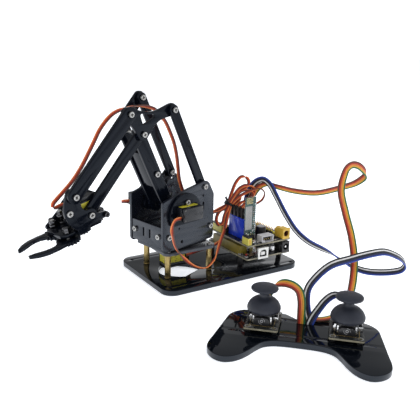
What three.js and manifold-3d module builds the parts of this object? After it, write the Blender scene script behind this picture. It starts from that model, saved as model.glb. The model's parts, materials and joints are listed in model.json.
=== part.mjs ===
import * as THREE from "three";
import { mergeVertices } from "three/addons/utils/BufferGeometryUtils.js";
import Module from "manifold-3d";

// Desktop robot arm with its control board and its two-stick handset. Millimetres, +Z up.
// The arm points along -X, +Y is its far side, and the origin is the middle of the base plate's underside.

const wasm = await Module();
wasm.setup();

// ---- driving dimensions ----
const ACRYLIC = 3; // thickness of every arm plate
const GAP = 0.3; // running clearance between neighbouring plates
const HOLE = 1.9; // radius of a hole for an M3 screw
const SCREW = 1.5; // radius of an M3 screw

const BASE_X = 152;
const BASE_Y = 98;
const BASE_T = 5;

const TURRET_X = -36.9; // yaw axis of the turret
const TURRET_Y = 0.8;
const TURRET_YAW = 11.42; // degrees
const POST_DX = 45; // spacing of the four brass posts
const POST_DY = 42;
const POST_H = 22.7;

const LINK = 80; // centre distance of every long link
const CRANK = 35.4; // centre distance of the crank and of the forearm's tail
const SHOULDER = [-19.1, 69.2]; // turret frame, x and z
const MAIN_ANGLE = 116.02; // degrees from +X
const FORE_ANGLE = 227.97;
const REAR_HOLE = [30.6, 18.6]; // level plate: from the elbow to its rear hole
const FRONT_HOLE = [-15.9, 18.0]; // level plate: from the elbow to its front hole
const CLAW_TILT = 12; // degrees, nose down

// The plates of the linkage, from the near side plate to the far one: where each begins in y.
const Y_SIDE_NEAR = -24;
const Y_ROD_NEAR = -20.7;
const Y_LEVEL = -17.4;
const Y_FORE_NEAR = -14.1;
const Y_MAIN_NEAR = -10.8;
const Y_MAIN_FAR = 7.8;
const Y_CLAW_FAR = 14.4;
const Y_DRIVE_ROD = 14.4;
const Y_FORE_FAR = 17.7;
const Y_SIDE_FAR = 21;

const BOARD = { x: 16.2, y: -40.2, w: 53.4, l: 68.6, z: 14.4 };

const HAND_X = -17.9; // middle between the two sticks
const HAND_Y = -161.2;
const HAND_TURN = -45.4; // degrees
const HAND_T = 5;
const STICK_U = 31.9; // half the distance between the sticks

const deg = Math.PI / 180;

// Colour, roughness and metalness of each material.
const FINISH = {
  acrylic: [0x1f2127, 0.15, 0],
  base: [0x17181b, 0.08, 0],
  smoke: [0x3c3d42, 0.1, 0],
  brass: [0xb8944f, 0.3, 1],
  servo: [0x1c2024, 0.2, 0],
  steel: [0xc4c3bf, 0.25, 1],
  board: [0x141617, 0.35, 0],
  yellow: [0xd9ae2b, 0.35, 0],
  blue: [0x1f3fc0, 0.25, 0],
  green: [0x3f7d6e, 0.4, 0],
  rubber: [0x35373f, 0.6, 0],
  stick: [0x18181a, 0.35, 0],
  warm: [0xd2691e, 0.45, 0],
  cool: [0x2b3f86, 0.45, 0],
  orange: [0xd4551c, 0.45, 0],
};

// ---- solid helpers ----
function solid(geometry) {
  const g = geometry.clone();
  g.deleteAttribute("normal");
  g.deleteAttribute("uv");
  const m = mergeVertices(g, 1e-4);
  return new wasm.Manifold(
    new wasm.Mesh({
      numProp: 3,
      vertProperties: new Float32Array(m.attributes.position.array),
      triVerts: new Uint32Array(m.index.array),
    }),
  );
}

function box(x0, x1, y0, y1, z0, z1) {
  const g = new THREE.BoxGeometry(x1 - x0, y1 - y0, z1 - z0);
  g.translate((x0 + x1) / 2, (y0 + y1) / 2, (z0 + z1) / 2);
  return solid(g);
}

// A cylinder between two heights along an axis: "x", "y" or "z".
function rod(axis, a, b, from, to, r, n = 16) {
  const g = new THREE.CylinderGeometry(r, r, to - from, n);
  if (axis === "x") {
    g.rotateZ(-90 * deg);
    g.translate((from + to) / 2, a, b);
  } else if (axis === "y") {
    g.translate(a, (from + to) / 2, b);
  } else {
    g.rotateX(90 * deg);
    g.translate(a, b, (from + to) / 2);
  }
  return solid(g);
}

function shapeOf(points) {
  return new THREE.Shape(points.map((p) => new THREE.Vector2(p[0], p[1])));
}

// A flat plate drawn in x and z, from y0 to y1.
function plateXZ(points, y0, y1) {
  const g = new THREE.ExtrudeGeometry(shapeOf(points), { depth: y1 - y0, bevelEnabled: false });
  g.rotateX(90 * deg);
  g.translate(0, y1, 0);
  return solid(g);
}

// A flat plate drawn in x and y, from z0 to z1.
function plateXY(points, z0, z1) {
  const g = new THREE.ExtrudeGeometry(shapeOf(points), { depth: z1 - z0, bevelEnabled: false });
  g.translate(0, 0, z0);
  return solid(g);
}

function sum(...parts) {
  return parts.reduce((a, b) => a.add(b));
}

function cut(body, ...tools) {
  return tools.reduce((a, b) => a.subtract(b), body);
}

// The outline of circles joined by straight tangents, anticlockwise round their hull.
function hull(circles, n = 20) {
  const pts = [];
  for (const [x, z, r] of circles) {
    for (let i = 0; i < n; i++) {
      const t = (2 * Math.PI * i) / n;
      pts.push([x + r * Math.cos(t), z + r * Math.sin(t)]);
    }
  }
  pts.sort((a, b) => a[0] - b[0] || a[1] - b[1]);
  const cross = (o, a, b) => (a[0] - o[0]) * (b[1] - o[1]) - (a[1] - o[1]) * (b[0] - o[0]);
  const half = (list) => {
    const h = [];
    for (const p of list) {
      while (h.length > 1 && cross(h[h.length - 2], h[h.length - 1], p) < 1e-4) h.pop();
      h.push(p);
    }
    h.pop();
    return h;
  };
  return [...half(pts), ...half([...pts].reverse())];
}

function arc(cx, cy, r, from, to, n) {
  const pts = [];
  for (let i = 0; i <= n; i++) {
    const t = (from + ((to - from) * i) / n) * deg;
    pts.push([cx + r * Math.cos(t), cy + r * Math.sin(t)]);
  }
  return pts;
}

function roundedRect(x0, x1, y0, y1, r, n = 5) {
  return [
    ...arc(x1 - r, y0 + r, r, -90, 0, n),
    ...arc(x1 - r, y1 - r, r, 0, 90, n),
    ...arc(x0 + r, y1 - r, r, 90, 180, n),
    ...arc(x0 + r, y0 + r, r, 180, 270, n),
  ];
}

// A straight link plate between two points of the turret's x-z plane, with a screw hole at each end.
function link(a, b, width, y0, extra = []) {
  const body = plateXZ(hull([[...a, width / 2], [...b, width / 2], ...extra]), y0, y0 + ACRYLIC);
  return cut(body, hole(a, y0), hole(b, y0));
}

function hole(p, y0, r = HOLE) {
  return rod("y", p[0], p[1], y0 - 1, y0 + ACRYLIC + 1, r, 14);
}

// A screw along y with its head at one end and a nut at the other.
function screwY(p, head, nut, flip = false) {
  const lo = Math.min(head, nut);
  const hi = Math.max(head, nut);
  const headAt = flip ? [hi - 0.01, hi + 1.8] : [lo - 1.8, lo + 0.01];
  const nutAt = flip ? [lo - 2.2, lo + 0.01] : [hi - 0.01, hi + 2.2];
  return sum(
    rod("y", p[0], p[1], lo, hi, SCREW, 12),
    rod("y", p[0], p[1], headAt[0], headAt[1], 2.8, 12),
    rod("y", p[0], p[1], nutAt[0], nutAt[1], 2.9, 6),
  );
}

function tube(points, r, steps, sides = 8) {
  const curve = new THREE.CatmullRomCurve3(points.map((p) => new THREE.Vector3(...p)));
  const g = new THREE.ExtrudeGeometry(
    new THREE.Shape(arc(0, 0, r, 0, 360 - 360 / sides, sides - 1).map((p) => new THREE.Vector2(...p))),
    { steps, extrudePath: curve, bevelEnabled: false },
  );
  return solid(g);
}

// A micro servo: output shaft at the origin pointing along +Z, the body below and towards +X.
const SERVO_L = 22.8;
const SERVO_W = 12.2;
const SERVO_H = 22.5;
const SERVO_SHAFT = 6.1; // shaft to the near end of the body
function servo(boss, shaft, flange = -4) {
  return cut(
    sum(
      box(-SERVO_SHAFT, SERVO_L - SERVO_SHAFT, -SERVO_W / 2, SERVO_W / 2, -SERVO_H, 0),
      box(-SERVO_SHAFT - 4.7, SERVO_L - SERVO_SHAFT + 4.7, -SERVO_W / 2, SERVO_W / 2, flange - 2.4, flange),
      rod("z", 0, 0, -0.01, boss, 5.8, 16),
      rod("z", 0, 0, boss - 0.01, shaft, 2.3, 12),
    ),
    rod("z", -SERVO_SHAFT - 2.4, 0, flange - 4, flange + 2, 1.1, 8),
    rod("z", SERVO_L - SERVO_SHAFT + 2.4, 0, flange - 4, flange + 2, 1.1, 8),
  );
}

// ---- the group and its frames ----
const group = new THREE.Group();
group.name = "robot_arm";
const turret = new THREE.Group();
turret.position.set(TURRET_X, TURRET_Y, 0);
turret.rotation.z = TURRET_YAW * deg;
group.add(turret);

const add = (c, r) => [c[0] + r[0], c[1] + r[1]];
const polar = (length, angle) => [length * Math.cos(angle * deg), length * Math.sin(angle * deg)];
const ELBOW = add(SHOULDER, polar(LINK, MAIN_ANGLE));
const WRIST = add(ELBOW, polar(LINK, FORE_ANGLE));
const TAIL = add(ELBOW, polar(-CRANK, FORE_ANGLE));
const CRANK_END = add(SHOULDER, polar(-CRANK, FORE_ANGLE));
const REAR_TOP = add(ELBOW, REAR_HOLE);
const REAR_LOW = add(SHOULDER, REAR_HOLE);
const FRONT_TOP = add(ELBOW, FRONT_HOLE);
const FRONT_LOW = add(WRIST, FRONT_HOLE);

// The claw has its own frame: x forward and nose down, z its normal, origin at the wrist.
const claw = new THREE.Group();
claw.position.set(WRIST[0], 0, WRIST[1]);
claw.rotation.set(0, (-CLAW_TILT) * deg, 0);
turret.add(claw);

const handset = new THREE.Group();
handset.position.set(HAND_X, HAND_Y, 0);
handset.rotation.z = HAND_TURN * deg;
group.add(handset);

function put(parent, name, body, finish = "acrylic") {
  const m = body.getMesh();
  const [color, roughness, metalness] = FINISH[finish];
  const g = new THREE.BufferGeometry();
  g.setAttribute("position", new THREE.BufferAttribute(new Float32Array(m.vertProperties), 3));
  g.setIndex(new THREE.BufferAttribute(new Uint32Array(m.triVerts), 1));
  const mesh = new THREE.Mesh(g, new THREE.MeshStandardMaterial({ color, roughness, metalness }));
  mesh.name = name;
  parent.add(mesh);
  return mesh;
}

// ---- base plate, posts, servo deck ----
{
  const hx = BASE_X / 2;
  const hy = BASE_Y / 2;
  const window = [
    [-66, -6], [-44, 20], [-40, 20.5], [-22, 6], [-15, -9], [-17, -15], [-27, -20], [-42, -27],
    [-46, -27], [-60, -16],
  ];
  const holes = [[-66.5, 39.5], [68, -43], [68, 40], [-68, -40]].map((p) =>
    rod("z", p[0], p[1], -1, BASE_T + 1, 1.6, 10),
  );
  const keep = sum(
    ...[[-1, -1], [1, -1], [1, 1], [-1, 1]].map((s) =>
      rod("z", TURRET_X + (s[0] * POST_DX) / 2, TURRET_Y + (s[1] * POST_DY) / 2, -1, BASE_T + 1, 4.6, 12),
    ),
    rod("z", 0, 0, -1, BASE_T + 1, 9, 12),
  );
  const opening = plateXY(window.reverse(), -1, BASE_T + 1).subtract(keep);
  const plate = plateXY(roundedRect(-hx, hx, -hy, hy, 12, 6), 0, BASE_T);
  const parts = opening.decompose().sort((a, b) => b.volume() - a.volume());
  put(group, "base_plate", cut(plate, parts[0], ...holes), "base");
}

const POST_Z = BASE_T + GAP;
const POST_TOP = BASE_T + POST_H;
[[-1, -1], [1, -1], [1, 1], [-1, 1]].forEach(([sx, sy], i) => {
  const x = TURRET_X + (sx * POST_DX) / 2;
  const y = TURRET_Y + (sy * POST_DY) / 2;
  put(group, "brass_post_" + (i + 1), rod("z", x, y, POST_Z, POST_TOP, 2.9, 6), "brass");
});

const DECK_Z = POST_TOP + GAP;
{
  const hx = POST_DX / 2 + 5;
  const hy = POST_DY / 2 + 5;
  const plate = plateXY(
    roundedRect(TURRET_X - hx, TURRET_X + hx, TURRET_Y - hy, TURRET_Y + hy, 5, 3),
    DECK_Z,
    DECK_Z + ACRYLIC,
  );
  const pocket = box(
    TURRET_X - SERVO_L + SERVO_SHAFT - 0.4,
    TURRET_X + SERVO_SHAFT + 0.4,
    TURRET_Y - SERVO_W / 2 - 0.4,
    TURRET_Y + SERVO_W / 2 + 0.4,
    DECK_Z - 1,
    DECK_Z + ACRYLIC + 1,
  );
  put(group, "servo_deck", cut(plate, pocket), "smoke");
}
{
  const top = DECK_Z + ACRYLIC - 0.5;
  const body = servo(1.3, 3.0, -2.8).rotate([0, 0, 180]).translate([TURRET_X, TURRET_Y, top]);
  put(group, "base_servo", body, "servo");
}

// ---- turret ----
const FLOOR_Z = DECK_Z + ACRYLIC + 1.6;
{
  const outline = roundedRect(-34.2, 20, -20.7, 20.7, 4, 3);
  const plate = plateXY(outline, FLOOR_Z, FLOOR_Z + ACRYLIC);
  put(turret, "turret_floor", cut(plate, rod("z", 0, 0, FLOOR_Z - 1, FLOOR_Z + 5, 2.7, 14)));
}

const SIDE_Z = 35.6;
const SIDE = [
  [-34.8, SIDE_Z - 0.5], [0, SIDE_Z], [21, SIDE_Z + 0.8], [23.4, SIDE_Z + 3],
  [23.4, 79.5], [18.6, 88.2], [15.2, 92.2], [10.5, 93.2], [1.2, 91], [-12.8, 88], [-38.4, 80.4],
  [-38.7, SIDE_Z + 3.6],
];
function sidePlate(y0) {
  const tools = [
    hole(REAR_LOW, y0),
    rod("y", 19.1, 48.9, y0 - 1, y0 + 4, HOLE, 10),
    rod("y", -32, 47.6, y0 - 1, y0 + 4, HOLE, 10),
    rod("y", 9.4, 79.6, y0 - 1, y0 + 4, 0.9, 8),
    rod("y", -16.1, 40.6, y0 - 1, y0 + 4, 1.4, 8),
    box(9, 10.8, y0 - 1, y0 + 4, 66, 73.6),
    box(
      SHOULDER[0] - SERVO_SHAFT - 0.4,
      SHOULDER[0] + SERVO_L - SERVO_SHAFT + 0.4,
      y0 - 1,
      y0 + 4,
      SHOULDER[1] - SERVO_W / 2 - 0.4,
      SHOULDER[1] + SERVO_W / 2 + 0.4,
    ),
  ];
  return cut(plateXZ(SIDE, y0, y0 + ACRYLIC), ...tools);
}
put(turret, "side_plate_near", sidePlate(Y_SIDE_NEAR));
put(turret, "side_plate_far", sidePlate(Y_SIDE_FAR));

// The cross plate is drawn in y and z at the front of the turret.
{
  const y = 20.4;
  const outline = [[-y, 37.6], [y, 37.6], [y, 57], [-y, 57]];
  const body = plateXZ(outline, -1.5, 1.5).rotate([0, 0, 90]).translate([-36.6, 0, 0]);
  const slots = [-4.6, 4.2].map((v) => box(-40, -33, v - 1.1, v + 1.1, 44, 52));
  put(turret, "cross_plate", cut(body, ...slots));
}

// Collars: the arched plates outside the side plates that clamp the two servos.
function collar(y0) {
  const [sx, sz] = [SHOULDER[0] + 4.6, SHOULDER[1] - 1.5];
  const outline = [...arc(sx, sz, 18.5, -30, 212, 18)];
  const pocket = box(
    SHOULDER[0] - SERVO_SHAFT - 0.4,
    SHOULDER[0] + SERVO_L - SERVO_SHAFT + 0.4,
    y0 - 1,
    y0 + 4,
    SHOULDER[1] - SERVO_W / 2 - 0.4,
    SHOULDER[1] + SERVO_W / 2 + 0.4,
  );
  return cut(plateXZ(outline, y0, y0 + ACRYLIC), pocket, rod("y", -14.5, 78.6, y0 - 1, y0 + 4, 1.3, 8));
}
put(turret, "servo_collar_near", collar(Y_SIDE_NEAR - ACRYLIC - GAP));
put(turret, "servo_collar_far", collar(Y_SIDE_FAR + ACRYLIC + GAP));

// Both servos share the shoulder axis: their output shafts point inwards.
const NEAR_TOP = -14.4;
const FAR_TOP = 21.4;
const nearServo = servo(3.2, 5.6).rotate([-90, 0, 0]).translate([SHOULDER[0], NEAR_TOP, SHOULDER[1]]);
const farServo = servo(-0.3, 2.6, -6.2).rotate([90, 0, 0]).translate([SHOULDER[0], FAR_TOP, SHOULDER[1]]);
put(turret, "shoulder_servo", nearServo, "servo");
put(turret, "elbow_servo", farServo, "servo");

// ---- main arm: two plates and the web between them ----
const along = (t, off, angle, from) => {
  const d = polar(1, angle);
  return [from[0] + d[0] * t - d[1] * off, from[1] + d[1] * t + d[0] * off];
};
const onMain = (t, off) => along(t, off, MAIN_ANGLE, SHOULDER);
const WEB_OFF = 3.2;
const webOutline = [
  onMain(27, WEB_OFF - 1.5), onMain(62, WEB_OFF - 1.5), onMain(62, WEB_OFF + 1.5),
    onMain(27, WEB_OFF + 1.5),
];
put(
  turret,
  "main_arm_near",
  cut(link(SHOULDER, ELBOW, 12, Y_MAIN_NEAR),
    rod("y", ...SHOULDER, Y_MAIN_NEAR - 1, Y_MAIN_NEAR + 4, 2.7, 14)),
);
put(turret, "main_arm_far", link(SHOULDER, ELBOW, 12, Y_MAIN_FAR));
put(turret, "main_arm_web", plateXZ(webOutline, Y_MAIN_NEAR + ACRYLIC + GAP, Y_MAIN_FAR - GAP));

// ---- crank, drive rod, level plate and rods ----
put(
  turret,
  "crank",
  cut(link(SHOULDER, CRANK_END, 9, Y_FORE_FAR, [[...SHOULDER, 6.5]]),
    rod("y", ...SHOULDER, 17, 22, 2.7, 14)),
);
put(
  turret,
  "crank_pin",
  sum(
    rod("y", ...CRANK_END, Y_DRIVE_ROD - GAP - 0.01, Y_FORE_FAR + ACRYLIC - 0.2, SCREW, 12),
    rod("y", ...CRANK_END, Y_DRIVE_ROD - GAP - 1.8, Y_DRIVE_ROD - GAP, 2.8, 12),
  ),
  "steel",
);
put(turret, "drive_rod", link(CRANK_END, TAIL, 9, Y_DRIVE_ROD));
put(turret, "rear_level_rod", link(REAR_LOW, REAR_TOP, 9, Y_ROD_NEAR));
put(turret, "front_level_rod", link(FRONT_TOP, FRONT_LOW, 12, Y_ROD_NEAR));
{
  const p = hull([[...ELBOW, 5.5], [...REAR_TOP, 5.5], [...FRONT_TOP, 5.5]], 20);
  const mid = (a, b, t) => [a[0] + (b[0] - a[0]) * t, a[1] + (b[1] - a[1]) * t];
  const scoop = (a, b, away, depth) => {
    const m = mid(a, b, 0.5);
    const d = Math.hypot(b[0] - a[0], b[1] - a[1]) - 11;
    const nx = (b[1] - a[1]) / Math.hypot(b[0] - a[0], b[1] - a[1]);
    const nz = -(b[0] - a[0]) / Math.hypot(b[0] - a[0], b[1] - a[1]);
    const s = Math.sign((m[0] - away[0]) * nx + (m[1] - away[1]) * nz);
    const r = (d * d) / (8 * depth) + depth / 2;
    const c = [m[0] + s * nx * (5.5 + r - depth), m[1] + s * nz * (5.5 + r - depth)];
    return rod("y", c[0], c[1], Y_LEVEL - 1, Y_LEVEL + 4, r, 64);
  };
  const centre = mid(mid(ELBOW, REAR_TOP, 0.42), FRONT_TOP, 0.36);
  const windowPts = hull([
    [ELBOW[0] + 0.5, ELBOW[1] + 10, 1.6], [centre[0] + 8, centre[1] + 2.8, 1.4],
    [centre[0] - 4, centre[1] + 4, 1.6],
  ], 10);
  put(
    turret,
    "level_plate",
    cut(
      plateXZ(p, Y_LEVEL, Y_LEVEL + ACRYLIC),
      scoop(ELBOW, REAR_TOP, FRONT_TOP, 5.2),
      scoop(FRONT_TOP, REAR_TOP, ELBOW, 5.6),
      scoop(FRONT_TOP, ELBOW, REAR_TOP, 1.5),
      plateXZ(windowPts, Y_LEVEL - 1, Y_LEVEL + 4),
      hole(ELBOW, Y_LEVEL),
      hole(REAR_TOP, Y_LEVEL),
      hole(FRONT_TOP, Y_LEVEL),
    ),
  );
}

// ---- forearm ----
put(turret, "forearm_near", link(ELBOW, WRIST, 10, Y_FORE_NEAR));
put(turret, "forearm_far", cut(link(TAIL, WRIST, 11, Y_FORE_FAR), hole(ELBOW, Y_FORE_FAR)));

// ---- pivot screws ----
put(turret, "elbow_screw", screwY(ELBOW, Y_LEVEL - GAP, Y_FORE_FAR + ACRYLIC + GAP), "steel");
put(turret, "tail_screw", screwY(TAIL, Y_DRIVE_ROD - GAP, Y_FORE_FAR + ACRYLIC + GAP), "steel");
put(
  turret,
  "wrist_screw_near",
  sum(
    rod("y", ...WRIST, Y_LEVEL - GAP - 0.01, Y_FORE_NEAR + ACRYLIC - 0.1, SCREW, 12),
    rod("y", ...WRIST, Y_LEVEL - GAP - 1.8, Y_LEVEL - GAP, 2.8, 12),
  ),
  "steel",
);
put(turret, "wrist_screw_far", screwY(WRIST, Y_CLAW_FAR - GAP, Y_FORE_FAR + ACRYLIC + GAP, true), "steel");

// ---- claw, drawn in its own frame: forward is -x ----
const PIVOT_X = -20.6; // the two finger pivots
const PIVOT_Y = 10;
const CLAW_DECK_Z = -11.8;
const JAW_Z = -16.5;
const GEAR_AT = [-4.55, -4.4]; // output shaft of the claw servo
const FINGER_R = 9.8; // outer radius of a finger's toothed wheel
const GEAR_R = 6.8;

// The near side plate reaches up to the front level rod. Its outline is x and z in the claw's frame.
const CLAW_NEAR = [
  [15.4, -7], [16.4, -5.8], [16.2, -3.4], [14.6, -2.2], [8.6, -1.4], [5.9, -0.2], [5.45, 1.3], [4.6, 3.2],
  [3.2, 4.6], [1.3, 5.45], [-0.9, 5.5], [-2.6, 5.4], [-4.6, 6.2], [-6, 8], [-6.7, 10.4], [-6.9, 13.6],
  [-6.4, 17], [-5.8, 20.2], [-6.2, 22.8], [-7.7, 25.2], [-10.2, 26.8], [-13.2, 26.9], [-15.8, 25.6],
  [-17.5, 23.3], [-18.4, 20.6], [-20.2, 17], [-22, 12.5], [-22.3, 7.5], [-21.4, 2.6], [-19.4, -1.4],
  [-16.6, -5.6], [-14.6, -7.2], [-14, -12], [-3, -12], [-2.4, -7.2],
];
{
  const t = CLAW_TILT * deg;
  const x = FRONT_HOLE[0] * Math.cos(t) + FRONT_HOLE[1] * Math.sin(t);
  const z = -FRONT_HOLE[0] * Math.sin(t) + FRONT_HOLE[1] * Math.cos(t);
  const near = plateXZ(CLAW_NEAR, Y_LEVEL, Y_LEVEL + ACRYLIC);
  put(claw, "claw_side_near", cut(near, hole([0, 0], Y_LEVEL), hole([x, z], Y_LEVEL)));
  const low = hull([[0, 0, 5.6], [-22, -9.6, 2.4], [6, -9.6, 2.4]], 16);
  put(claw, "claw_side_far", cut(plateXZ(low, Y_CLAW_FAR, Y_CLAW_FAR + ACRYLIC), hole([0, 0], Y_CLAW_FAR)));
}
{
  const outline = [[10, -14], [10, 14], [-22, 14], [-27, 10], [-27, -10], [-22, -14]];
  const bore = (x, y, r) => rod("z", x, y, CLAW_DECK_Z - 1, CLAW_DECK_Z + ACRYLIC + 1, r, 16);
  put(
    claw,
    "claw_deck",
    cut(
      plateXY(outline.reverse(), CLAW_DECK_Z, CLAW_DECK_Z + ACRYLIC),
      bore(...GEAR_AT, 6.2),
      bore(PIVOT_X, PIVOT_Y, HOLE),
      bore(PIVOT_X, -PIVOT_Y, HOLE),
    ),
  );
  const top = CLAW_DECK_Z + ACRYLIC + 0.5;
  put(claw, "claw_servo", servo(3.2, 6.8).rotate([180, 0, 0]).translate([...GEAR_AT, top]), "servo");
}

// The outline of a toothed wheel. Each tooth has four corners.
function gear(x, y, r, teeth, phase) {
  const corners = [[0, -1.5], [0.22, 0], [0.5, 0], [0.72, -1.5]];
  const pts = [];
  for (let i = 0; i < teeth; i++) {
    for (const [f, d] of corners) {
      const t = ((i + f) / teeth) * 2 * Math.PI + phase;
      pts.push([x + (r + d) * Math.cos(t), y + (r + d) * Math.sin(t)]);
    }
  }
  return pts;
}

function finger(side) {
  const outer = [[-25, 16.4], [-33, 17.4], [-42, 17], [-50, 13.6], [-55, 9.4], [-55, 7.4]];
  const inner = [[-50, 8.2], [-42, 11.4], [-34, 12], [-27, 7], [-18, 6], [-18, 14]];
  const outline = [...outer, ...inner].map(([x, y]) => [x, side * y]);
  if (side > 0) outline.reverse();
  const arm = plateXY(outline.reverse(), JAW_Z, JAW_Z + ACRYLIC);
  const wheel = plateXY(gear(PIVOT_X, side * PIVOT_Y, FINGER_R, 18, 0.17), JAW_Z, JAW_Z + ACRYLIC);
  return cut(arm.add(wheel), rod("z", PIVOT_X, side * PIVOT_Y, JAW_Z - 1, JAW_Z + 4, HOLE, 12));
}
put(claw, "claw_finger_near", finger(-1));
put(claw, "claw_finger_far", finger(1));
put(
  claw,
  "claw_gear",
  cut(plateXY(gear(...GEAR_AT, GEAR_R, 13, 0), JAW_Z, JAW_Z + ACRYLIC),
    rod("z", ...GEAR_AT, -18, -12, 2.7, 12)),
);

// ---- control board, and the shield on top of it ----
{
  const { x, y, w, l, z } = BOARD;
  const top = z + 1.6;
  const legs = [[3, 15], [w - 3, 14], [3, l - 3], [w - 12, l - 3]].map((p) =>
    rod("z", x + p[0], y + p[1], BASE_T + GAP, z + 0.01, 2.8, 8),
  );
  put(
    group,
    "control_board",
    sum(
      box(x, x + w, y, y + l, z, top),
      ...legs,
      box(x + 1, x + 9.6, y + 14, y + 61, top - 0.01, top + 8.8), // long side header
      box(x + w - 5, x + w - 2.4, y + 27, y + 64, top - 0.01, top + 8.8),
      box(x + w - 12, x + w - 3, y - 1.8, y + 11.6, top - 0.01, top + 10.8), // power jack
      box(x + 18, x + 25, y + 30, y + 60, top - 0.01, top + 3),
      cut(
        box(x + 9.4, x + 21.4, y - 5.2, y + 9.8, top - 0.01, top + 10.8), // USB socket
        box(x + 11.4, x + 19.4, y - 6, y + 1, top + 2, top + 8.8),
      ),
    ),
    "board",
  );
  const sz = z + 13.4;
  const st = sz + 1.6;
  put(
    group,
    "sensor_shield",
    sum(
      box(x + 0.4, x + w - 0.4, y, y + 66, sz, st),
      box(x + 0.8, x + 5.2, y + 0.6, y + 10.6, st - 0.01, st + 8.2),
      box(x + 17.6, x + 31.6, y + 0.6, y + 9.4, st - 0.01, st + 6.6),
      box(x + 14.6, x + 22, y + 17.6, y + 21, st - 0.01, st + 4.4),
      rod("z", x + 31.4, y + 21, st - 0.01, st + 10, 5, 16),
      box(x + 28, x + 40, y + 27, y + 50, st - 0.01, st + 2.8),
      box(x + 42, x + 50, y + 18, y + 50, st - 0.01, st + 5.4),
      box(x + 0.8, x + 6, y + 46, y + 64, st - 0.01, st + 8.2),
      box(x + 16.4, x + 29.6, y + 31, y + 33.6, st - 0.01, st + 14), // plug of the warm ribbon
      box(x + 16.4, x + 29.6, y + 35, y + 37.6, st - 0.01, st + 14), // plug of the cool ribbon
    ),
    "board",
  );
  put(
    group,
    "power_socket",
    cut(
      box(x + w - 11.8, x + w - 2.8, y - 1.4, y + 12.6, st + GAP, st + 11.2),
      rod("y", x + w - 7.3, st + 5.8, y - 2, y + 8, 3, 12),
    ),
    "yellow",
  );
  const plugs = [20.2, 26.2, 32.2, 38.2].map((v) =>
    box(x + 6.1, x + 13.7, y + v - 1.3, y + v + 1.3, st + 21.4 - 0.01, st + 30),
  );
  put(group, "servo_header", sum(box(x + 6.4, x + 13.4, y + 16.8, y + 42, st + GAP, st + 21.4),
    ...plugs), "blue");
  put(
    group,
    "wireless_module",
    sum(
      box(x + 4.6, x + 17.6, y + 12, y + 14.2, st + 4.6, st + 44.4),
      box(x + 6, x + 16, y + 11, y + 15, st + GAP, st + 6.4),
    ),
    "green",
  );
}

// ---- handset: plate, and two sticks that each tilt both ways and press ----
const PLATE_SHIFT = [-2, -1.2]; // the plate's middle from the middle between the sticks
{
  const right = [
    [0, -21.9], [12, -22.2], [20, -23.6], [26, -27], [30.5, -33.5], [35, -42], [40, -49], [45.5, -53.4],
    [51, -55],
    [56.5, -53.6], [61.6, -49.6], [65, -43.8], [65.6, -37], [63.9, -24], [61.8, -8], [60.2, 4],
    [58.6, 13.5],
    [54.6, 19.8], [48.6, 24], [42, 24.8], [15, 24.6], [9.5, 21], [4.5, 17.4],
  ];
  const left = right.slice(1).map(([u, w]) => [-u, w]).reverse();
  const outline = [...right, [0, 16.6], ...left].map(([u, w]) => [u + PLATE_SHIFT[0], w + PLATE_SHIFT[1]]);
  const plate = plateXY(outline, 0, HAND_T);
  put(handset, "handset_plate", cut(plate, box(-6.6, 6.6, 9, 13.4, -1, HAND_T + 1)), "base");
}

const PCB_Z = HAND_T + 2.6;
const TILT_Z = PCB_Z + 7.2; // height of both tilt axes
const WELL = 6.9; // half the width of the hollow in a stick's case
for (const [side, s] of [["left", -1], ["right", 1]]) {
  const u = s * STICK_U;
  const top = PCB_Z + 1.6;
  const feet = [[-10, -13.5], [10, -13.5], [-10, 13.5], [10, 13.5]].map(([a, b]) =>
    rod("z", u + a, b, HAND_T + GAP, PCB_Z + 0.01, 2.2, 6),
  );
  const shell = cut(
    box(u - 8.3, u + 8.3, -8.3, 8.3, top - 0.01, top + 9.2),
    box(u - WELL, u + WELL, -WELL, WELL, top + 1.2, top + 12),
  );
  put(
    handset,
    "stick_module_" + side,
    sum(
      box(u - 13, u + 13, -17, 17, PCB_Z, top),
      ...feet,
      shell,
      box(u - 11.4, u - 8.29, -4.6, 4.6, top - 0.01, top + 5.4), // tilt sensors
      box(u - 4.6, u + 4.6, -11.4, -8.29, top - 0.01, top + 5.4),
      box(u + 8.29, u + 11.8, -3.2, 3.2, top - 0.01, top + 4.4), // push switch
      box(u - 6.6, u + 6.6, 14.6, 17, top - 0.01, top + 8.8), // plug of the ribbon
    ),
    "stick",
  );
  put(
    handset,
    "stick_yoke_" + side,
    cut(
      box(u - 6.2, u + 6.2, -6.2, 6.2, TILT_Z - 1.3, TILT_Z + 1.3),
      box(u - 4.4, u + 4.4, -4.4, 4.4, TILT_Z - 3, TILT_Z + 3),
    ),
    "stick",
  );
  put(
    handset,
    "stick_stem_" + side,
    sum(
      rod("z", u, 0, TILT_Z - 2.2, 32, 1.5, 8),
      box(u - 4, u + 4, -1.1, 1.1, TILT_Z - 1.1, TILT_Z + 1.1),
    ),
    "stick",
  );
  const profile = [
    [0, 26.2], [4, 26.2], [8, 25.2], [10.8, 23], [11.9, 20], [12, 18.6], [12.9, 18.6], [13.15, 20],
    [12.4, 22.6],
    [10.2, 25.4], [7.2, 27.6], [4.6, 28.6], [3.8, 30], [3.9, 32.2], [5.2, 33.6], [10, 34.6], [10.6, 35.6],
    [10.2, 36.6], [8.2, 37.6], [4, 38.1], [0, 38.2],
  ];
  const lathe = new THREE.LatheGeometry(profile.map((p) => new THREE.Vector2(...p)), 20);
  lathe.rotateX(90 * deg);
  lathe.translate(u, 0, 0);
  put(handset, "stick_cap_" + side, cut(solid(lathe), rod("z", u, 0, 25, 33, 1.8, 8)), "rubber");
}

// ---- cords ----
const LEAD_R = 0.6;
const RIBBON_R = 0.8;
function cord(name, points, r, steps, finish) {
  put(group, name, tube(points, r, steps), finish);
}
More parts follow.
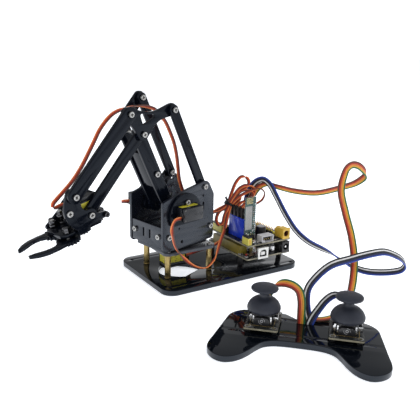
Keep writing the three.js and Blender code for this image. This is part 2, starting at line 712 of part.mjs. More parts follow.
// Points given in the turret's frame, moved to the group's frame.
function onTurret(points) {
  const c = Math.cos(TURRET_YAW * deg);
  const s = Math.sin(TURRET_YAW * deg);
  return points.map(([x, y, z]) => [TURRET_X + x * c - y * s, TURRET_Y + x * s + y * c, z]);
}

// The two ribbons from the shield to the handset. Both end in the slot of the handset's plate.
cord("ribbon_warm", [
  [39.2, -7.9, 44.5], [39.2, -8.2, 54], [42, -8.6, 66], [49, -10, 76.5], [54, -17, 81], [59, -29, 80],
  [68, -42, 78],
  [80, -61, 79], [92, -78, 86], [102, -90, 93], [105, -97, 101], [98, -99, 108], [91, -99, 112],
  [84, -99, 113],
  [78, -100, 111], [73, -102, 107], [67.1, -105, 93.3], [66.9, -112.3, 75.1], [64.3, -124.2, 57.3],
  [58.3, -135.3, 42], [50.1, -144.2, 29.8],
  [40.4, -151.8, 20.2], [31.7, -157.3, 13], [22.4, -159.3, 8.6], [12.2, -159.6, 7], [3, -157.4, 6.6],
  [-4.1, -153.1, 6.8],
  [-8.8, -151, 6.8], [-11.6, -151, 4], [-11.9, -150.9, 1.8],
], RIBBON_R, 76, "warm");
cord("ribbon_cool", [
  [39.2, -3.9, 44.5], [39.2, -4, 56], [41, -5, 70], [46, -8, 81.5], [50, -16, 86], [52.4, -24, 82],
  [55, -30, 73],
  [58.6, -43.4, 55], [62, -56, 42], [67, -69, 34], [78, -87, 27], [84, -103, 21], [91, -118, 17],
  [104, -133, 18],
  [112, -144, 23], [113, -146, 28], [108, -147.3, 33.3], [98.6, -148.9, 39.3], [81.6, -148.3, 46.5],
  [66.7, -147.3, 47.5], [45.2, -142.8, 44.8],
  [25.7, -140.2, 42], [11.2, -139, 33.4], [3.7, -139.3, 25.8], [-3, -145.6, 17.5], [-5.6, -150.4, 11.5],
  [-6.6, -154, 7.4],
  [-6.9, -155, 4], [-6.9, -155, 1.8],
], RIBBON_R, 76, "cool");
cord("lead_stick_left", [
  [-28.6, -127.4, 18.6], [-27.4, -126.9, 22.4], [-23.5, -128.4, 30], [-20.4, -137, 35.2],
  [-16.5, -143.5, 34.8],
  [-13.2, -147.4, 31], [-12.4, -150, 24], [-12.8, -151.4, 14], [-13.2, -152, 6], [-13.2, -152, 1.8],
], RIBBON_R, 24, "warm");
cord("lead_stick_right", [
  [16.2, -172.9, 18.6], [16.4, -172.2, 22], [14.6, -168.6, 28], [9, -163.6, 28.6], [3.6, -160.4, 24],
  [-2, -158.8, 17], [-6.4, -157.4, 10], [-8.2, -156.6, 5], [-8.3, -156.4, 1.8],
], RIBBON_R, 24, "cool");

// The claw servo's lead: up the forearm and over the elbow, then down behind the main arm and out
// to the board.
cord("lead_claw_front", onTurret([
  [-120.9, -4.4, 90.4], [-124, -4.4, 91], [-128, -4.4, 90.4], [-131.8, -4.4, 89.2], [-134.2, -4.3, 90],
  [-133.4, -3.8, 92.6], [-129.2, -3, 95.8], [-124.3, -2.5, 99.4], [-117.4, -2, 104.7],
  [-111.4, -1.5, 110.2],
  [-104.2, -1, 118.5], [-97.9, -0.5, 127.4], [-91.5, 0, 136.8], [-86.4, 0, 144.9], [-79.7, 1, 151.5],
  [-71.9, 2, 156.9], [-64, 3, 159.6], [-55, 4, 161.2],
]), LEAD_R, 48, "orange");
cord("lead_claw_back", [
  ...onTurret([
    [-53.4, 4.2, 161.4], [-46.8, 5, 161.8], [-37.4, 6, 161.3], [-27.8, 6.6, 159.4], [-22.1, 6.8, 157],
    [-17.2, 6, 152], [-11.3, 6, 146], [-6.2, 5, 136], [-2.1, 4, 125.5], [0.2, 3, 114.3], [1.3, 2, 102],
    [2, 1, 92],
    [4, 0, 84], [7.4, -0.6, 76], [12, -1.6, 68], [18, -3, 61],
  ]),
  [-9.3, 0.7, 56], [2, -0.6, 54.5], [11, -1.4, 55.5], [21.2, -1.5, 59.9], [26.5, -2.2, 67.2], [32, -5, 73],
  [37.5, -9.4, 75], [40.5, -13.4, 71.5], [37, -14.8, 66], [31, -14.2, 63.2], [26, -14, 60.2],
], LEAD_R, 78, "orange");
cord("lead_shoulder", [
  ...onTurret([
    [-26, -33.4, 66.4], [-30, -34, 67], [-34, -34.5, 66.4], [-37, -34.8, 63], [-37.9, -35, 59],
    [-36.8, -35.2, 51.5],
    [-34.8, -35.6, 43.8], [-30, -35.6, 36.2],
  ]),
  [-53.7, -39, 30], [-45.9, -37, 22.7], [-37.1, -35, 16.9], [-25.5, -32, 12.9], [-14.9, -28, 16.3],
  [-7.1, -22.4, 21],
  [-0.9, -17, 26.2], [5.8, -11.8, 32.6], [11.4, -8.4, 39], [15.5, -6, 49.5], [21.2, -3, 59.9],
  [26.5, -5, 66.5],
  [33, -9.5, 72.5], [41, -14.5, 76.5], [46, -18, 77.5], [48.5, -21, 74], [46.5, -21.4, 68],
  [39, -20.4, 63.5],
  [30, -20, 63], [26, -20, 60.2],
], LEAD_R, 78, "orange");
cord("lead_elbow", [
  ...onTurret([
    [-26, 41, 67], [-29.5, 43.4, 66.8], [-30, 47.4, 65.6], [-26, 49.4, 64.6], [-16, 49, 62], [-2, 46, 58],
    [12, 38, 53], [24, 24, 49.4],
  ]),
  [-8, 17, 48.4], [0, 9, 49.5], [10, 3.6, 55.4], [20.2, 1.5, 61.6], [25, 2.4, 70], [31, 3.2, 81],
  [37, 2, 86.6],
  [41.6, -1, 85], [42, -3.4, 79.6], [37.6, -2.4, 75], [30, -0.2, 70.6], [24.6, 0, 65.6], [20.2, 0, 61.6],
  [13.4, 0.6, 57], [8, 0.4, 51.6], [5.6, -1.4, 46], [7, -4, 41.6], [11, -4.4, 43.6], [13.6, -3.4, 50.4],
  [17.4, -3.2, 57.6], [20.2, -2, 61.9], [24.2, -3.2, 69], [28, -5.4, 76], [33, -8.6, 80],
  [38, -11.6, 79.6], [42.6, -12.6, 75],
  [42, -10.6, 68.6], [36, -8.8, 64.4], [30, -8.2, 63], [26, -8, 60.2],
], LEAD_R, 80, "orange");
cord("lead_base", [
  [-30, -4, 17.6], [-24, -5.4, 19], [-17, -7, 21], [-8, -8.8, 23], [1, -8, 24.4], [9, -5.4, 27],
  [13.4, -2.6, 33],
  [16.4, 0.6, 45], [18.6, 2.6, 54], [21.2, 3, 59.9], [25.4, 4.4, 65.4], [29.6, 4, 69], [33, 2, 68.6],
  [34, -0.6, 65.4], [30.6, -2, 62.8], [26, -2, 60.2],
], LEAD_R, 60, "orange");

export default group;
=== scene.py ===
import json
import math
import random

import bmesh
import bpy
from mathutils import Matrix, Vector


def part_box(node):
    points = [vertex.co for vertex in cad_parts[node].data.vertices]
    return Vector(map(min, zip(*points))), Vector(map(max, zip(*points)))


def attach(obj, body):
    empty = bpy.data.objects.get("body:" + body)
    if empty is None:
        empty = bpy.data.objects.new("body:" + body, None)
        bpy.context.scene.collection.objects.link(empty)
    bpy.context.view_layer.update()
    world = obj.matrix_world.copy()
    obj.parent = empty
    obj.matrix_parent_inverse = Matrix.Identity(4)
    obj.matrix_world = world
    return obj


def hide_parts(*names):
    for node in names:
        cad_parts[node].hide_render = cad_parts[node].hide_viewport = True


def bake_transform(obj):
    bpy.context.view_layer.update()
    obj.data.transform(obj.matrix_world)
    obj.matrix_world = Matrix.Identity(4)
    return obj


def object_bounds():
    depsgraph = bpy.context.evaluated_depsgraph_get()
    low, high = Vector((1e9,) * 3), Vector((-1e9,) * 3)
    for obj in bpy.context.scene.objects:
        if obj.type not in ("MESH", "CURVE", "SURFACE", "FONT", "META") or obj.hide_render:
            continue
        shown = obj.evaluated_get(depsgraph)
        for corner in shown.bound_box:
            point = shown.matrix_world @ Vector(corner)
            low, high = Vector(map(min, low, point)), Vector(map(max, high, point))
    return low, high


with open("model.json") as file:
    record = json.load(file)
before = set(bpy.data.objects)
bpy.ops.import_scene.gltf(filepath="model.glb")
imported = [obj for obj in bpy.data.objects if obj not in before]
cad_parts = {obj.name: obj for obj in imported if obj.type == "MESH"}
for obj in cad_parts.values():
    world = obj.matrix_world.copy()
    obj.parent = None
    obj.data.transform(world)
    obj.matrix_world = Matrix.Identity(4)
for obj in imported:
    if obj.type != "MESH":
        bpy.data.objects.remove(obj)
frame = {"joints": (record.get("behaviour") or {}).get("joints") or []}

# Desktop robot arm with its control board and its two-stick handset.
# Pieces are drawn in millimetres in the frames below, which turn them into metres of the object's frame.
CAD_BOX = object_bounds()
JOINTS = {j["name"]: j for j in frame["joints"]}
SCENE = bpy.context.scene
random.seed(7)

# ---- frames ----
MM = Matrix.Scale(0.001, 4)
OBJECT = MM
ARM_AXIS = Vector(JOINTS["shoulder"]["axis"])
YAW = math.atan2(-ARM_AXIS.x, ARM_AXIS.y)
YAW_AT = Vector(JOINTS["base_yaw"]["pos_m"])
TURRET = Matrix.Translation((YAW_AT.x, YAW_AT.y, 0)) @ Matrix.Rotation(YAW, 4, "Z") @ MM


def pivot(joint, parent=TURRET):
    """Where a joint's axis lies, in x and z of the turret's frame."""
    p = parent.inverted() @ Vector(JOINTS[joint]["pos_m"])
    return p.x, p.z


SHOULDER = pivot("shoulder")
ELBOW = pivot("elbow")
WRIST = pivot("wrist")
CRANK_END = pivot("crank_pin_turn")
REAR_LOW = pivot("rear_rod_turn")
FRONT_TOP = pivot("front_rod_turn")
REAR_TOP = (REAR_LOW[0] + ELBOW[0] - SHOULDER[0], REAR_LOW[1] + ELBOW[1] - SHOULDER[1])
FRONT_LOW = (FRONT_TOP[0] + WRIST[0] - ELBOW[0], FRONT_TOP[1] + WRIST[1] - ELBOW[1])
TAIL = (ELBOW[0] + CRANK_END[0] - SHOULDER[0], ELBOW[1] + CRANK_END[1] - SHOULDER[1])

CLAW_TILT = math.radians(12)
CLAW = TURRET @ Matrix.Translation((WRIST[0], 0, WRIST[1])) @ Matrix.Rotation(-CLAW_TILT, 4, "Y")
GEAR_AT = CLAW.inverted() @ Vector(JOINTS["claw_drive"]["pos_m"])

STICKS = {s: Vector(JOINTS["stick_" + s + "_tilt_fore"]["pos_m"]) for s in ("left", "right")}
HAND_MID = (STICKS["left"] + STICKS["right"]) / 2
HAND_U = STICKS["right"] - STICKS["left"]
STICK_U = HAND_U.length / 2 * 1000
HAND_TURN = math.atan2(HAND_U.y, HAND_U.x)
HANDSET = Matrix.Translation((HAND_MID.x, HAND_MID.y, 0)) @ Matrix.Rotation(HAND_TURN, 4, "Z") @ MM

# ---- camera ----
CAMERA_AT = Vector((-0.3169, -0.4779, 0.2226))
CAMERA_AZIMUTH = math.radians(-33.44)
CAMERA_DOWN = math.radians(16.08)
CAMERA_ROLL = math.radians(1.45)
CAMERA_LENS = 52.42

# ---- colours, linear ----
BROWN = (0.12, 0.042, 0.024)
RED = (0.46, 0.035, 0.018)
ORANGE = (0.80, 0.235, 0.06)
YELLOW = (0.74, 0.41, 0.035)
GREEN = (0.012, 0.13, 0.055)
BLUE = (0.018, 0.055, 0.34)
NAVY = (0.02, 0.026, 0.085)
WHITE = (0.8, 0.8, 0.8)
BLACK = (0.012, 0.012, 0.014)


# ================= materials =================
def node_tree(name):
    m = bpy.data.materials.new(name)
    m.use_nodes = True
    t = m.node_tree
    return m, t, t.nodes["Principled BSDF"]


def noise(t, scale, detail=4.0, rough=0.6, stretch=None):
    """A noise pattern fixed to the object's own coordinates, in metres."""
    n = t.nodes.new("ShaderNodeTexNoise")
    n.inputs["Scale"].default_value = scale
    n.inputs["Detail"].default_value = detail
    n.inputs["Roughness"].default_value = rough
    place = t.nodes.new("ShaderNodeTexCoord")
    if stretch:
        m = t.nodes.new("ShaderNodeMapping")
        m.inputs["Scale"].default_value = stretch
        t.links.new(place.outputs["Object"], m.inputs["Vector"])
        t.links.new(m.outputs["Vector"], n.inputs["Vector"])
    else:
        t.links.new(place.outputs["Object"], n.inputs["Vector"])
    return n.outputs["Fac"]


def spread(t, value, lo, hi, from_lo=0.3, from_hi=0.7):
    """Map a pattern's middle range on to lo..hi."""
    n = t.nodes.new("ShaderNodeMapRange")
    n.inputs["From Min"].default_value = from_lo
    n.inputs["From Max"].default_value = from_hi
    n.inputs["To Min"].default_value = lo
    n.inputs["To Max"].default_value = hi
    t.links.new(value, n.inputs["Value"])
    return n.outputs["Result"]


def blend_colours(t, factor, a, b):
    n = t.nodes.new("ShaderNodeMix")
    n.data_type = "RGBA"
    t.links.new(factor, n.inputs["Factor"])
    for socket, c in ((n.inputs[6], a), (n.inputs[7], b)):
        if hasattr(c, "links"):
            t.links.new(c, socket)
        else:
            socket.default_value = (*c, 1)
    return n.outputs[2]


def bump(t, shader, height, distance, strength=1.0):
    n = t.nodes.new("ShaderNodeBump")
    n.inputs["Distance"].default_value = distance
    n.inputs["Strength"].default_value = strength
    t.links.new(height, n.inputs["Height"])
    t.links.new(n.outputs["Normal"], shader.inputs["Normal"])


def finish(name, colour, rough, metal=0.0, vary=0.12, grain=900.0, relief=0.00001, spot=60.0, ior=1.49):
    """A moulded, sawn or plated finish: uneven gloss, slight colour variation and a fine grain."""
    m, t, s = node_tree(name)
    s.inputs["Metallic"].default_value = metal
    s.inputs["IOR"].default_value = ior
    broad = noise(t, spot, 5.0, 0.65)
    t.links.new(spread(t, broad, max(0.02, rough * 0.72), min(1.0, rough * 1.35)), s.inputs["Roughness"])
    light = tuple(min(1.0, c * (1 + vary)) for c in colour)
    dark = tuple(c * (1 - vary) for c in colour)
    tint = blend_colours(t, spread(t, noise(t, spot * 2.3), 0, 1), dark, light)
    t.links.new(tint, s.inputs["Base Color"])
    bump(t, s, noise(t, grain, 3.0), relief, 0.6)
    return m


def acrylic(name, colour, rough, ior=1.49):
    """Cast acrylic: a near mirror, very slightly wavy, with faint wipe marks and dust."""
    m, t, s = node_tree(name)
    s.inputs["IOR"].default_value = ior
    s.inputs["Specular Tint"].default_value = (0.80, 0.88, 1.0, 1)
    smear = noise(t, 30.0, 4.0, 0.55)
    dust = noise(t, 2600.0, 2.0, 0.5)
    t.links.new(spread(t, smear, rough * 0.8, rough * 1.3), s.inputs["Roughness"])
    specks = spread(t, dust, 0, 1, 0.68, 0.8)
    base = blend_colours(t, specks, colour, tuple(c * 2.2 + 0.01 for c in colour))
    t.links.new(base, s.inputs["Base Color"])
    bump(t, s, noise(t, 60.0, 2.0), 0.000006, 0.2)
    return m


def brushed(name, colour, rough, along="z"):
    """Turned or plated metal with fine marks across the given axis."""
    m, t, s = node_tree(name)
    s.inputs["Metallic"].default_value = 1.0
    stretch = {"x": (0.05, 1, 1), "y": (1, 0.05, 1), "z": (1, 1, 0.05)}[along]
    marks = noise(t, 2200.0, 3.0, 0.6, stretch)
    t.links.new(spread(t, noise(t, 300.0), rough * 0.6, rough * 1.5), s.inputs["Roughness"])
    dull = tuple(c * 0.78 for c in colour)
    t.links.new(blend_colours(t, spread(t, marks, 0, 1), dull, colour), s.inputs["Base Color"])
    bump(t, s, marks, 0.000008, 0.4)
    return m


def board_finish(name):
    """Black solder mask with fine copper tracks just showing under it."""
    m, t, s = node_tree(name)
    place = t.nodes.new("ShaderNodeTexCoord")
    tracks = t.nodes.new("ShaderNodeTexVoronoi")
    tracks.distance = "MANHATTAN"
    tracks.feature = "DISTANCE_TO_EDGE"
    tracks.inputs["Scale"].default_value = 260.0
    t.links.new(place.outputs["Object"], tracks.inputs["Vector"])
    line = spread(t, tracks.outputs["Distance"], 1, 0, 0.02, 0.06)
    t.links.new(blend_colours(t, line, (0.008, 0.009, 0.01), (0.022, 0.026, 0.024)), s.inputs["Base Color"])
    t.links.new(spread(t, noise(t, 150.0), 0.22, 0.42), s.inputs["Roughness"])
    bump(t, s, line, 0.00002, 0.5)
    return m


def label_finish(name):
    """A yellow foil sticker with small dark generic ticks."""
    m, t, s = node_tree(name)
    ticks = spread(t, noise(t, 1300.0, 1.0, 0.5, (0.5, 0.5, 1.0)), 0, 1, 0.56, 0.62)
    t.links.new(blend_colours(t, ticks, (0.52, 0.47, 0.035), (0.20, 0.17, 0.02)), s.inputs["Base Color"])
    t.links.new(spread(t, noise(t, 200.0), 0.25, 0.45), s.inputs["Roughness"])
    bump(t, s, noise(t, 700.0), 0.00001)
    return m


def wire_finish(name, colour):
    """Soft vinyl insulation: satin, a little uneven, with faint scuffs."""
    m, t, s = node_tree(name)
    worn = tuple(c * 0.8 + 0.01 for c in colour)
    tint = blend_colours(t, spread(t, noise(t, 180.0, 5.0), 0, 1), worn, colour)
    t.links.new(tint, s.inputs["Base Color"])
    t.links.new(spread(t, noise(t, 500.0), 0.34, 0.52), s.inputs["Roughness"])
    bump(t, s, noise(t, 1500.0), 0.00001, 0.5)
    return m


def clear_sleeve(name):
    """Clear shrink sleeve over the wireless module."""
    m, t, s = node_tree(name)
    s.inputs["Base Color"].default_value = (0.93, 0.96, 0.96, 1)
    s.inputs["Transmission Weight"].default_value = 1.0
    s.inputs["IOR"].default_value = 1.25
    t.links.new(spread(t, noise(t, 120.0), 0.06, 0.2), s.inputs["Roughness"])
    bump(t, s, noise(t, 260.0, 3.0), 0.00008, 0.6)
    return m


MAT = {
    "acrylic": acrylic("acrylic_black", (0.005, 0.006, 0.010), 0.24, 1.58),
    "sheet": acrylic("acrylic_linkage", (0.002, 0.003, 0.006), 0.12, 1.28),
    "base": acrylic("acrylic_base", (0.002, 0.003, 0.005), 0.04),
    "smoke": acrylic("acrylic_smoke", (0.05, 0.052, 0.06), 0.08),
    "brass": brushed("brass", (0.40, 0.30, 0.12), 0.3),
    "steel": brushed("screw_steel", (0.50, 0.495, 0.48), 0.26, "y"),
    "chrome": brushed("dark_chrome", (0.10, 0.10, 0.105), 0.18),
    # Dark metal for screw recess floors, hole floors, socket openings and housing windows: painted shade
    # where these openings fall dark.
    "recess_shade": finish("painted_recess_shade", (0.09, 0.087, 0.085), 0.45, 0.7),
    "servo": finish("servo_case", (0.005, 0.006, 0.009), 0.2, spot=90.0),
    # Near-black for the inside of the USB port: painted shade behind its mouth.
    "port_shade": finish("painted_port_shade", (0.004, 0.004, 0.005), 0.6),
    "label": label_finish("servo_label"),
    "board": board_finish("solder_mask"),
    "board_edge": finish("board_edge", (0.26, 0.24, 0.17), 0.55, vary=0.3),
    "plastic": finish("black_plastic", (0.010, 0.010, 0.011), 0.38),
    "yellow": finish("yellow_housing", (0.60, 0.38, 0.045), 0.36, vary=0.1),
    "blue": finish("blue_housing", (0.008, 0.042, 0.50), 0.22, vary=0.06, spot=20.0),
    "olive": finish("header_housing", (0.20, 0.155, 0.018), 0.42, vary=0.15),
    "lemon": finish("pale_yellow_housing", (0.62, 0.56, 0.10), 0.4, vary=0.1),
    "pale": finish("pale_housing", (0.50, 0.50, 0.52), 0.35, vary=0.1),
    # Dark brown for the barrel socket's bore: painted shade inside the yellow socket.
    "bore_shade": finish("painted_bore_shade", (0.10, 0.028, 0.012), 0.4),
    "gold": brushed("gold_pins", (0.85, 0.62, 0.25), 0.25),
    "tin": brushed("tinned_shell", (0.78, 0.78, 0.78), 0.2),
    "white": finish("white_nylon", (0.78, 0.78, 0.76), 0.45, vary=0.05),
    "teal": finish("module_board", (0.035, 0.105, 0.095), 0.4, vary=0.3),
    "tag": finish("module_tag", (0.50, 0.47, 0.46), 0.5, vary=0.12),
    "sleeve": clear_sleeve("clear_sleeve"),
    "rubber": finish("thumb_cap", (0.022, 0.025, 0.036), 0.5, vary=0.1, grain=2400.0, relief=0.00003,
                     ior=1.45),
    "case": finish("stick_case", (0.012, 0.012, 0.014), 0.3),
    "print": finish("grey_print", (0.34, 0.34, 0.35), 0.5),
    "solder": brushed("solder", (0.62, 0.62, 0.60), 0.35),
    "ceramic": finish("ceramic_part", (0.42, 0.30, 0.20), 0.5, vary=0.3),
    "red_led": finish("red_led", (0.5, 0.04, 0.02), 0.3),
}
WIRE = {}


def wire(colour):
    if colour not in WIRE:
        WIRE[colour] = wire_finish("wire_%d" % len(WIRE), colour)
    return WIRE[colour]


# ================= mesh making =================
FLAT = Matrix.Identity(4)
# Stands a drawing up: its x and y become x and z.
UPRIGHT = Matrix(((1, 0, 0, 0), (0, 0, -1, 0), (0, 1, 0, 0), (0, 0, 0, 1)))
ROD_ALONG = {
    "x": Matrix(((0, 0, 1, 0), (1, 0, 0, 0), (0, 1, 0, 0), (0, 0, 0, 1))),
    "y": Matrix(((0, 1, 0, 0), (0, 0, 1, 0), (1, 0, 0, 0), (0, 0, 0, 1))),
    "z": FLAT,
}


def circle(x, y, r, n=40):
    angles = [2 * math.pi * i / n for i in range(n)]
    return [(x + r * math.cos(a), y + r * math.sin(a)) for a in angles]


def arc(x, y, r, start, stop, n=16):
    angles = [math.radians(start + (stop - start) * i / n) for i in range(n + 1)]
    return [(x + r * math.cos(a), y + r * math.sin(a)) for a in angles]


def rounded(x0, x1, y0, y1, r, n=8):
    corners = ((x1 - r, y0 + r, -90), (x1 - r, y1 - r, 0), (x0 + r, y1 - r, 90), (x0 + r, y0 + r, 180))
    return [p for x, y, a in corners for p in arc(x, y, r, a, a + 90, n)]


def hull(circles, n=72):
    """The outline of circles joined by straight tangents."""
    pts = sorted({(round(px, 5), round(py, 5)) for x, y, r in circles for px, py in circle(x, y, r, n)})

    def half(points):
        line = []
        for p in points:
            while len(line) > 1:
                (ax, ay), (bx, by) = line[-2], line[-1]
                if (bx - ax) * (p[1] - ay) - (by - ay) * (p[0] - ax) >= 1e-6:
                    break
                line.pop()
            line.append(p)
        return line[:-1]

    return half(pts) + half(pts[::-1])


class Piece:
    """Solids drawn in millimetres in one frame and gathered into one mesh with several materials."""

    def __init__(self, name, body, at=OBJECT, slot=None, replaces=()):
        self.name, self.body, self.at, self.slot, self.gone = name, body, at, slot, replaces
        self.bm = bmesh.new()
        self.mats = []

    def _take(self, bm, mat, bevel, matrix):
        """Round one solid's sharp edges, put it in place and add it to the piece."""
        if bevel:
            sharp = [e for e in bm.edges if len(e.link_faces) == 2 and e.calc_face_angle() > 0.6]
            bmesh.ops.bevel(bm, geom=sharp, offset=bevel, segments=2, affect="EDGES", profile=0.6)
        bm.transform(matrix)
        if MAT[mat] not in self.mats:
            self.mats.append(MAT[mat])
        index = self.mats.index(MAT[mat])
        for f in bm.faces:
            f.material_index = index
        mesh = bpy.data.meshes.new("part")
        bm.to_mesh(mesh)
        bm.free()
        self.bm.from_mesh(mesh)
        bpy.data.meshes.remove(mesh)

    def box(self, x0, x1, y0, y1, z0, z1, mat, bevel=0.2, matrix=FLAT):
        bm = bmesh.new()
        size = Matrix.Diagonal((x1 - x0, y1 - y0, z1 - z0, 1))
        mid = Matrix.Translation(((x0 + x1) / 2, (y0 + y1) / 2, (z0 + z1) / 2))
        bmesh.ops.create_cube(bm, size=1, matrix=mid @ size)
        self._take(bm, mat, bevel, matrix)

    def rod(self, axis, a, b, start, stop, r, mat, n=28, bevel=0.15, end_r=None, matrix=FLAT):
        """A round or n-sided bar along an axis; a and b are its place across it."""
        bm = bmesh.new()
        mid = Matrix.Translation((0, 0, (start + stop) / 2))
        bmesh.ops.create_cone(
            bm, cap_ends=True, segments=n, radius1=r, radius2=end_r or r, depth=stop - start, matrix=mid,
        )
        aside = {"x": (0, a, b), "y": (a, 0, b), "z": (a, b, 0)}[axis]
        self._take(bm, mat, bevel, matrix @ Matrix.Translation(aside) @ ROD_ALONG[axis])

    def plate(self, outline, holes, start, stop, mat, axis="z", bevel=0.3, matrix=FLAT):
        """A flat sheet with its holes, its edges slightly rounded. On axis "y" it is drawn in x and z."""
        curve = bpy.data.curves.new("outline", "CURVE")
        curve.dimensions = "2D"
        curve.fill_mode = "BOTH"
        curve.extrude = (stop - start) / 2 - bevel
        curve.bevel_depth = bevel
        curve.bevel_resolution = 2
        curve.offset = -bevel
        for points in [outline, *holes]:
            s = curve.splines.new("POLY")
            s.points.add(len(points) - 1)
            for p, (x, y) in zip(s.points, points):
                p.co = (x, y, 0, 1)
            s.use_cyclic_u = True
        holder = bpy.data.objects.new("outline", curve)
        mesh = bpy.data.meshes.new_from_object(holder)
        bm = bmesh.new()
        bm.from_mesh(mesh)
        bmesh.ops.remove_doubles(bm, verts=bm.verts, dist=0.002)
        bpy.data.objects.remove(holder)
        bpy.data.curves.remove(curve)
        bpy.data.meshes.remove(mesh)
        mid = Vector((0, 0, (start + stop) / 2))
        place = UPRIGHT @ Matrix.Translation(-mid) if axis == "y" else Matrix.Translation(mid)
        self._take(bm, mat, 0, matrix @ place)

    def lathe(self, profile, mat, n):
        """A turned solid; the profile is radius and height, and starts and ends on the axis."""
        bm = bmesh.new()
        rings = [[bm.verts.new((x, y, z)) for x, y in circle(0, 0, r, n)] for r, z in profile[1:-1]]
        for low, high in zip(rings, rings[1:]):
            for i in range(n):
                bm.faces.new((low[i], low[(i + 1) % n], high[(i + 1) % n], high[i]))
        for ring, (_, z), turn in ((rings[0], profile[0], -1), (rings[-1], profile[-1], 1)):
            tip = bm.verts.new((0, 0, z))
            for i in range(n):
                ends = (ring[i], ring[(i + 1) % n])
                bm.faces.new((*ends[::turn], tip))
        bmesh.ops.recalc_face_normals(bm, faces=bm.faces)
        self._take(bm, mat, 0, FLAT)

    def done(self, smooth=32):
        self.bm.transform(self.at)
        mesh = bpy.data.meshes.new(self.name)
        self.bm.to_mesh(mesh)
        self.bm.free()
        for m in self.mats:
            mesh.materials.append(m)
        mesh.shade_smooth()
        mesh.set_sharp_from_angle(angle=math.radians(smooth))
        o = bpy.data.objects.new(self.name, mesh)
        SCENE.collection.objects.link(o)
        if self.gone:
            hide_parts(*self.gone)
        if self.body:
            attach(o, self.body)
        return o


# ================= camera, stage and light =================
def aim(o, at, azimuth, down, roll=0.0):
    o.location = at
    look = Matrix.Rotation(azimuth, 4, "Z") @ Matrix.Rotation(math.pi / 2 - down, 4, "X")
    o.rotation_euler = (look @ Matrix.Rotation(roll, 4, "Z")).to_euler()


def make_camera():
    data = bpy.data.cameras.new("camera")
    data.lens = CAMERA_LENS
    data.sensor_width = 36
    data.clip_start = 0.01
    o = bpy.data.objects.new("camera", data)
    SCENE.collection.objects.link(o)
    aim(o, CAMERA_AT, CAMERA_AZIMUTH, CAMERA_DOWN, CAMERA_ROLL)
    SCENE.camera = o


def make_stage():
    m, t, s = node_tree("pale_floor")
    s.inputs["Base Color"].default_value = (0.92, 0.94, 0.97, 1)
    s.inputs["Roughness"].default_value = 0.7
    s.inputs["Specular IOR Level"].default_value = 0.1
    s.inputs["Emission Color"].default_value = (0.92, 0.95, 1.0, 1)
    s.inputs["Emission Strength"].default_value = 0.66
    mesh = bpy.data.meshes.new("floor")
    reach = 6.0
    z = CAD_BOX[0][2] - 0.0002
    corners = [(-reach, -reach, z), (reach, -reach, z), (reach, reach, z), (-reach, reach, z)]
    mesh.from_pydata(corners, [], [(0, 1, 2, 3)])
    mesh.materials.append(m)
    floor = bpy.data.objects.new("floor", mesh)
    SCENE.collection.objects.link(floor)


def make_light():
    world = bpy.data.worlds.new("studio")
    SCENE.world = world
    world.use_nodes = True
    t = world.node_tree
    place = t.nodes.new("ShaderNodeTexCoord")
    split = t.nodes.new("ShaderNodeSeparateXYZ")
    t.links.new(place.outputs["Generated"], split.inputs["Vector"])
    sky = spread(t, split.outputs["Z"], 1.12, 0.36, 0.16, 0.42)
    ground = t.nodes["Background"]
    ground.inputs["Color"].default_value = (0.985, 0.99, 1.0, 1)
    t.links.new(sky, ground.inputs["Strength"])
    for name, at, size, power in (
        ("key", (0.55, -0.35, 0.95), 0.7, 5.5),
        ("fill", (-0.9, -0.5, 0.7), 0.9, 3.2),
        ("back", (0.1, 1.0, 0.9), 0.9, 4.0),
    ):
        data = bpy.data.lights.new(name, "AREA")
        data.shape = "DISK"
        data.size = size
        data.energy = power
        o = bpy.data.objects.new(name, data)
        SCENE.collection.objects.link(o)
        o.visible_glossy = False
        o.location = at
        o.rotation_euler = Vector(at).to_track_quat("Z", "Y").to_euler()
    SCENE.view_settings.view_transform = "Standard"


# ================= cords =================
def smooth_path(points, step):
    """A centripetal curve through the points, cut into even steps."""
    pts = [Vector(p) for p in points]
    pts = [pts[0] * 2 - pts[1], *pts, pts[-1] * 2 - pts[-2]]
    fine = []
    for p0, p1, p2, p3 in zip(pts, pts[1:], pts[2:], pts[3:]):
        t0 = 0.0
        t1 = t0 + max(1e-6, (p1 - p0).length ** 0.5)
        t2 = t1 + max(1e-6, (p2 - p1).length ** 0.5)
        t3 = t2 + max(1e-6, (p3 - p2).length ** 0.5)
        n = max(4, round((p2 - p1).length / step * 3))
        for i in range(n):
            t = t1 + (t2 - t1) * i / n
            a1 = p0 * ((t1 - t) / (t1 - t0)) + p1 * ((t - t0) / (t1 - t0))
            a2 = p1 * ((t2 - t) / (t2 - t1)) + p2 * ((t - t1) / (t2 - t1))
            a3 = p2 * ((t3 - t) / (t3 - t2)) + p3 * ((t - t2) / (t3 - t2))
            b1 = a1 * ((t2 - t) / (t2 - t0)) + a2 * ((t - t0) / (t2 - t0))
            b2 = a2 * ((t3 - t) / (t3 - t1)) + a3 * ((t - t1) / (t3 - t1))
            fine.append(b1 * ((t2 - t) / (t2 - t1)) + b2 * ((t - t1) / (t2 - t1)))
    fine.append(pts[-2])
    out, left = [fine[0]], step
    for a, b in zip(fine, fine[1:]):
        length = (b - a).length
        while left <= length:
            a = a + (b - a) * (left / length)
            out.append(a.copy())
            length = (b - a).length
            left = step
        left -= length
    if (out[-1] - fine[-1]).length > step * 0.4:
        out.append(fine[-1])
    return out


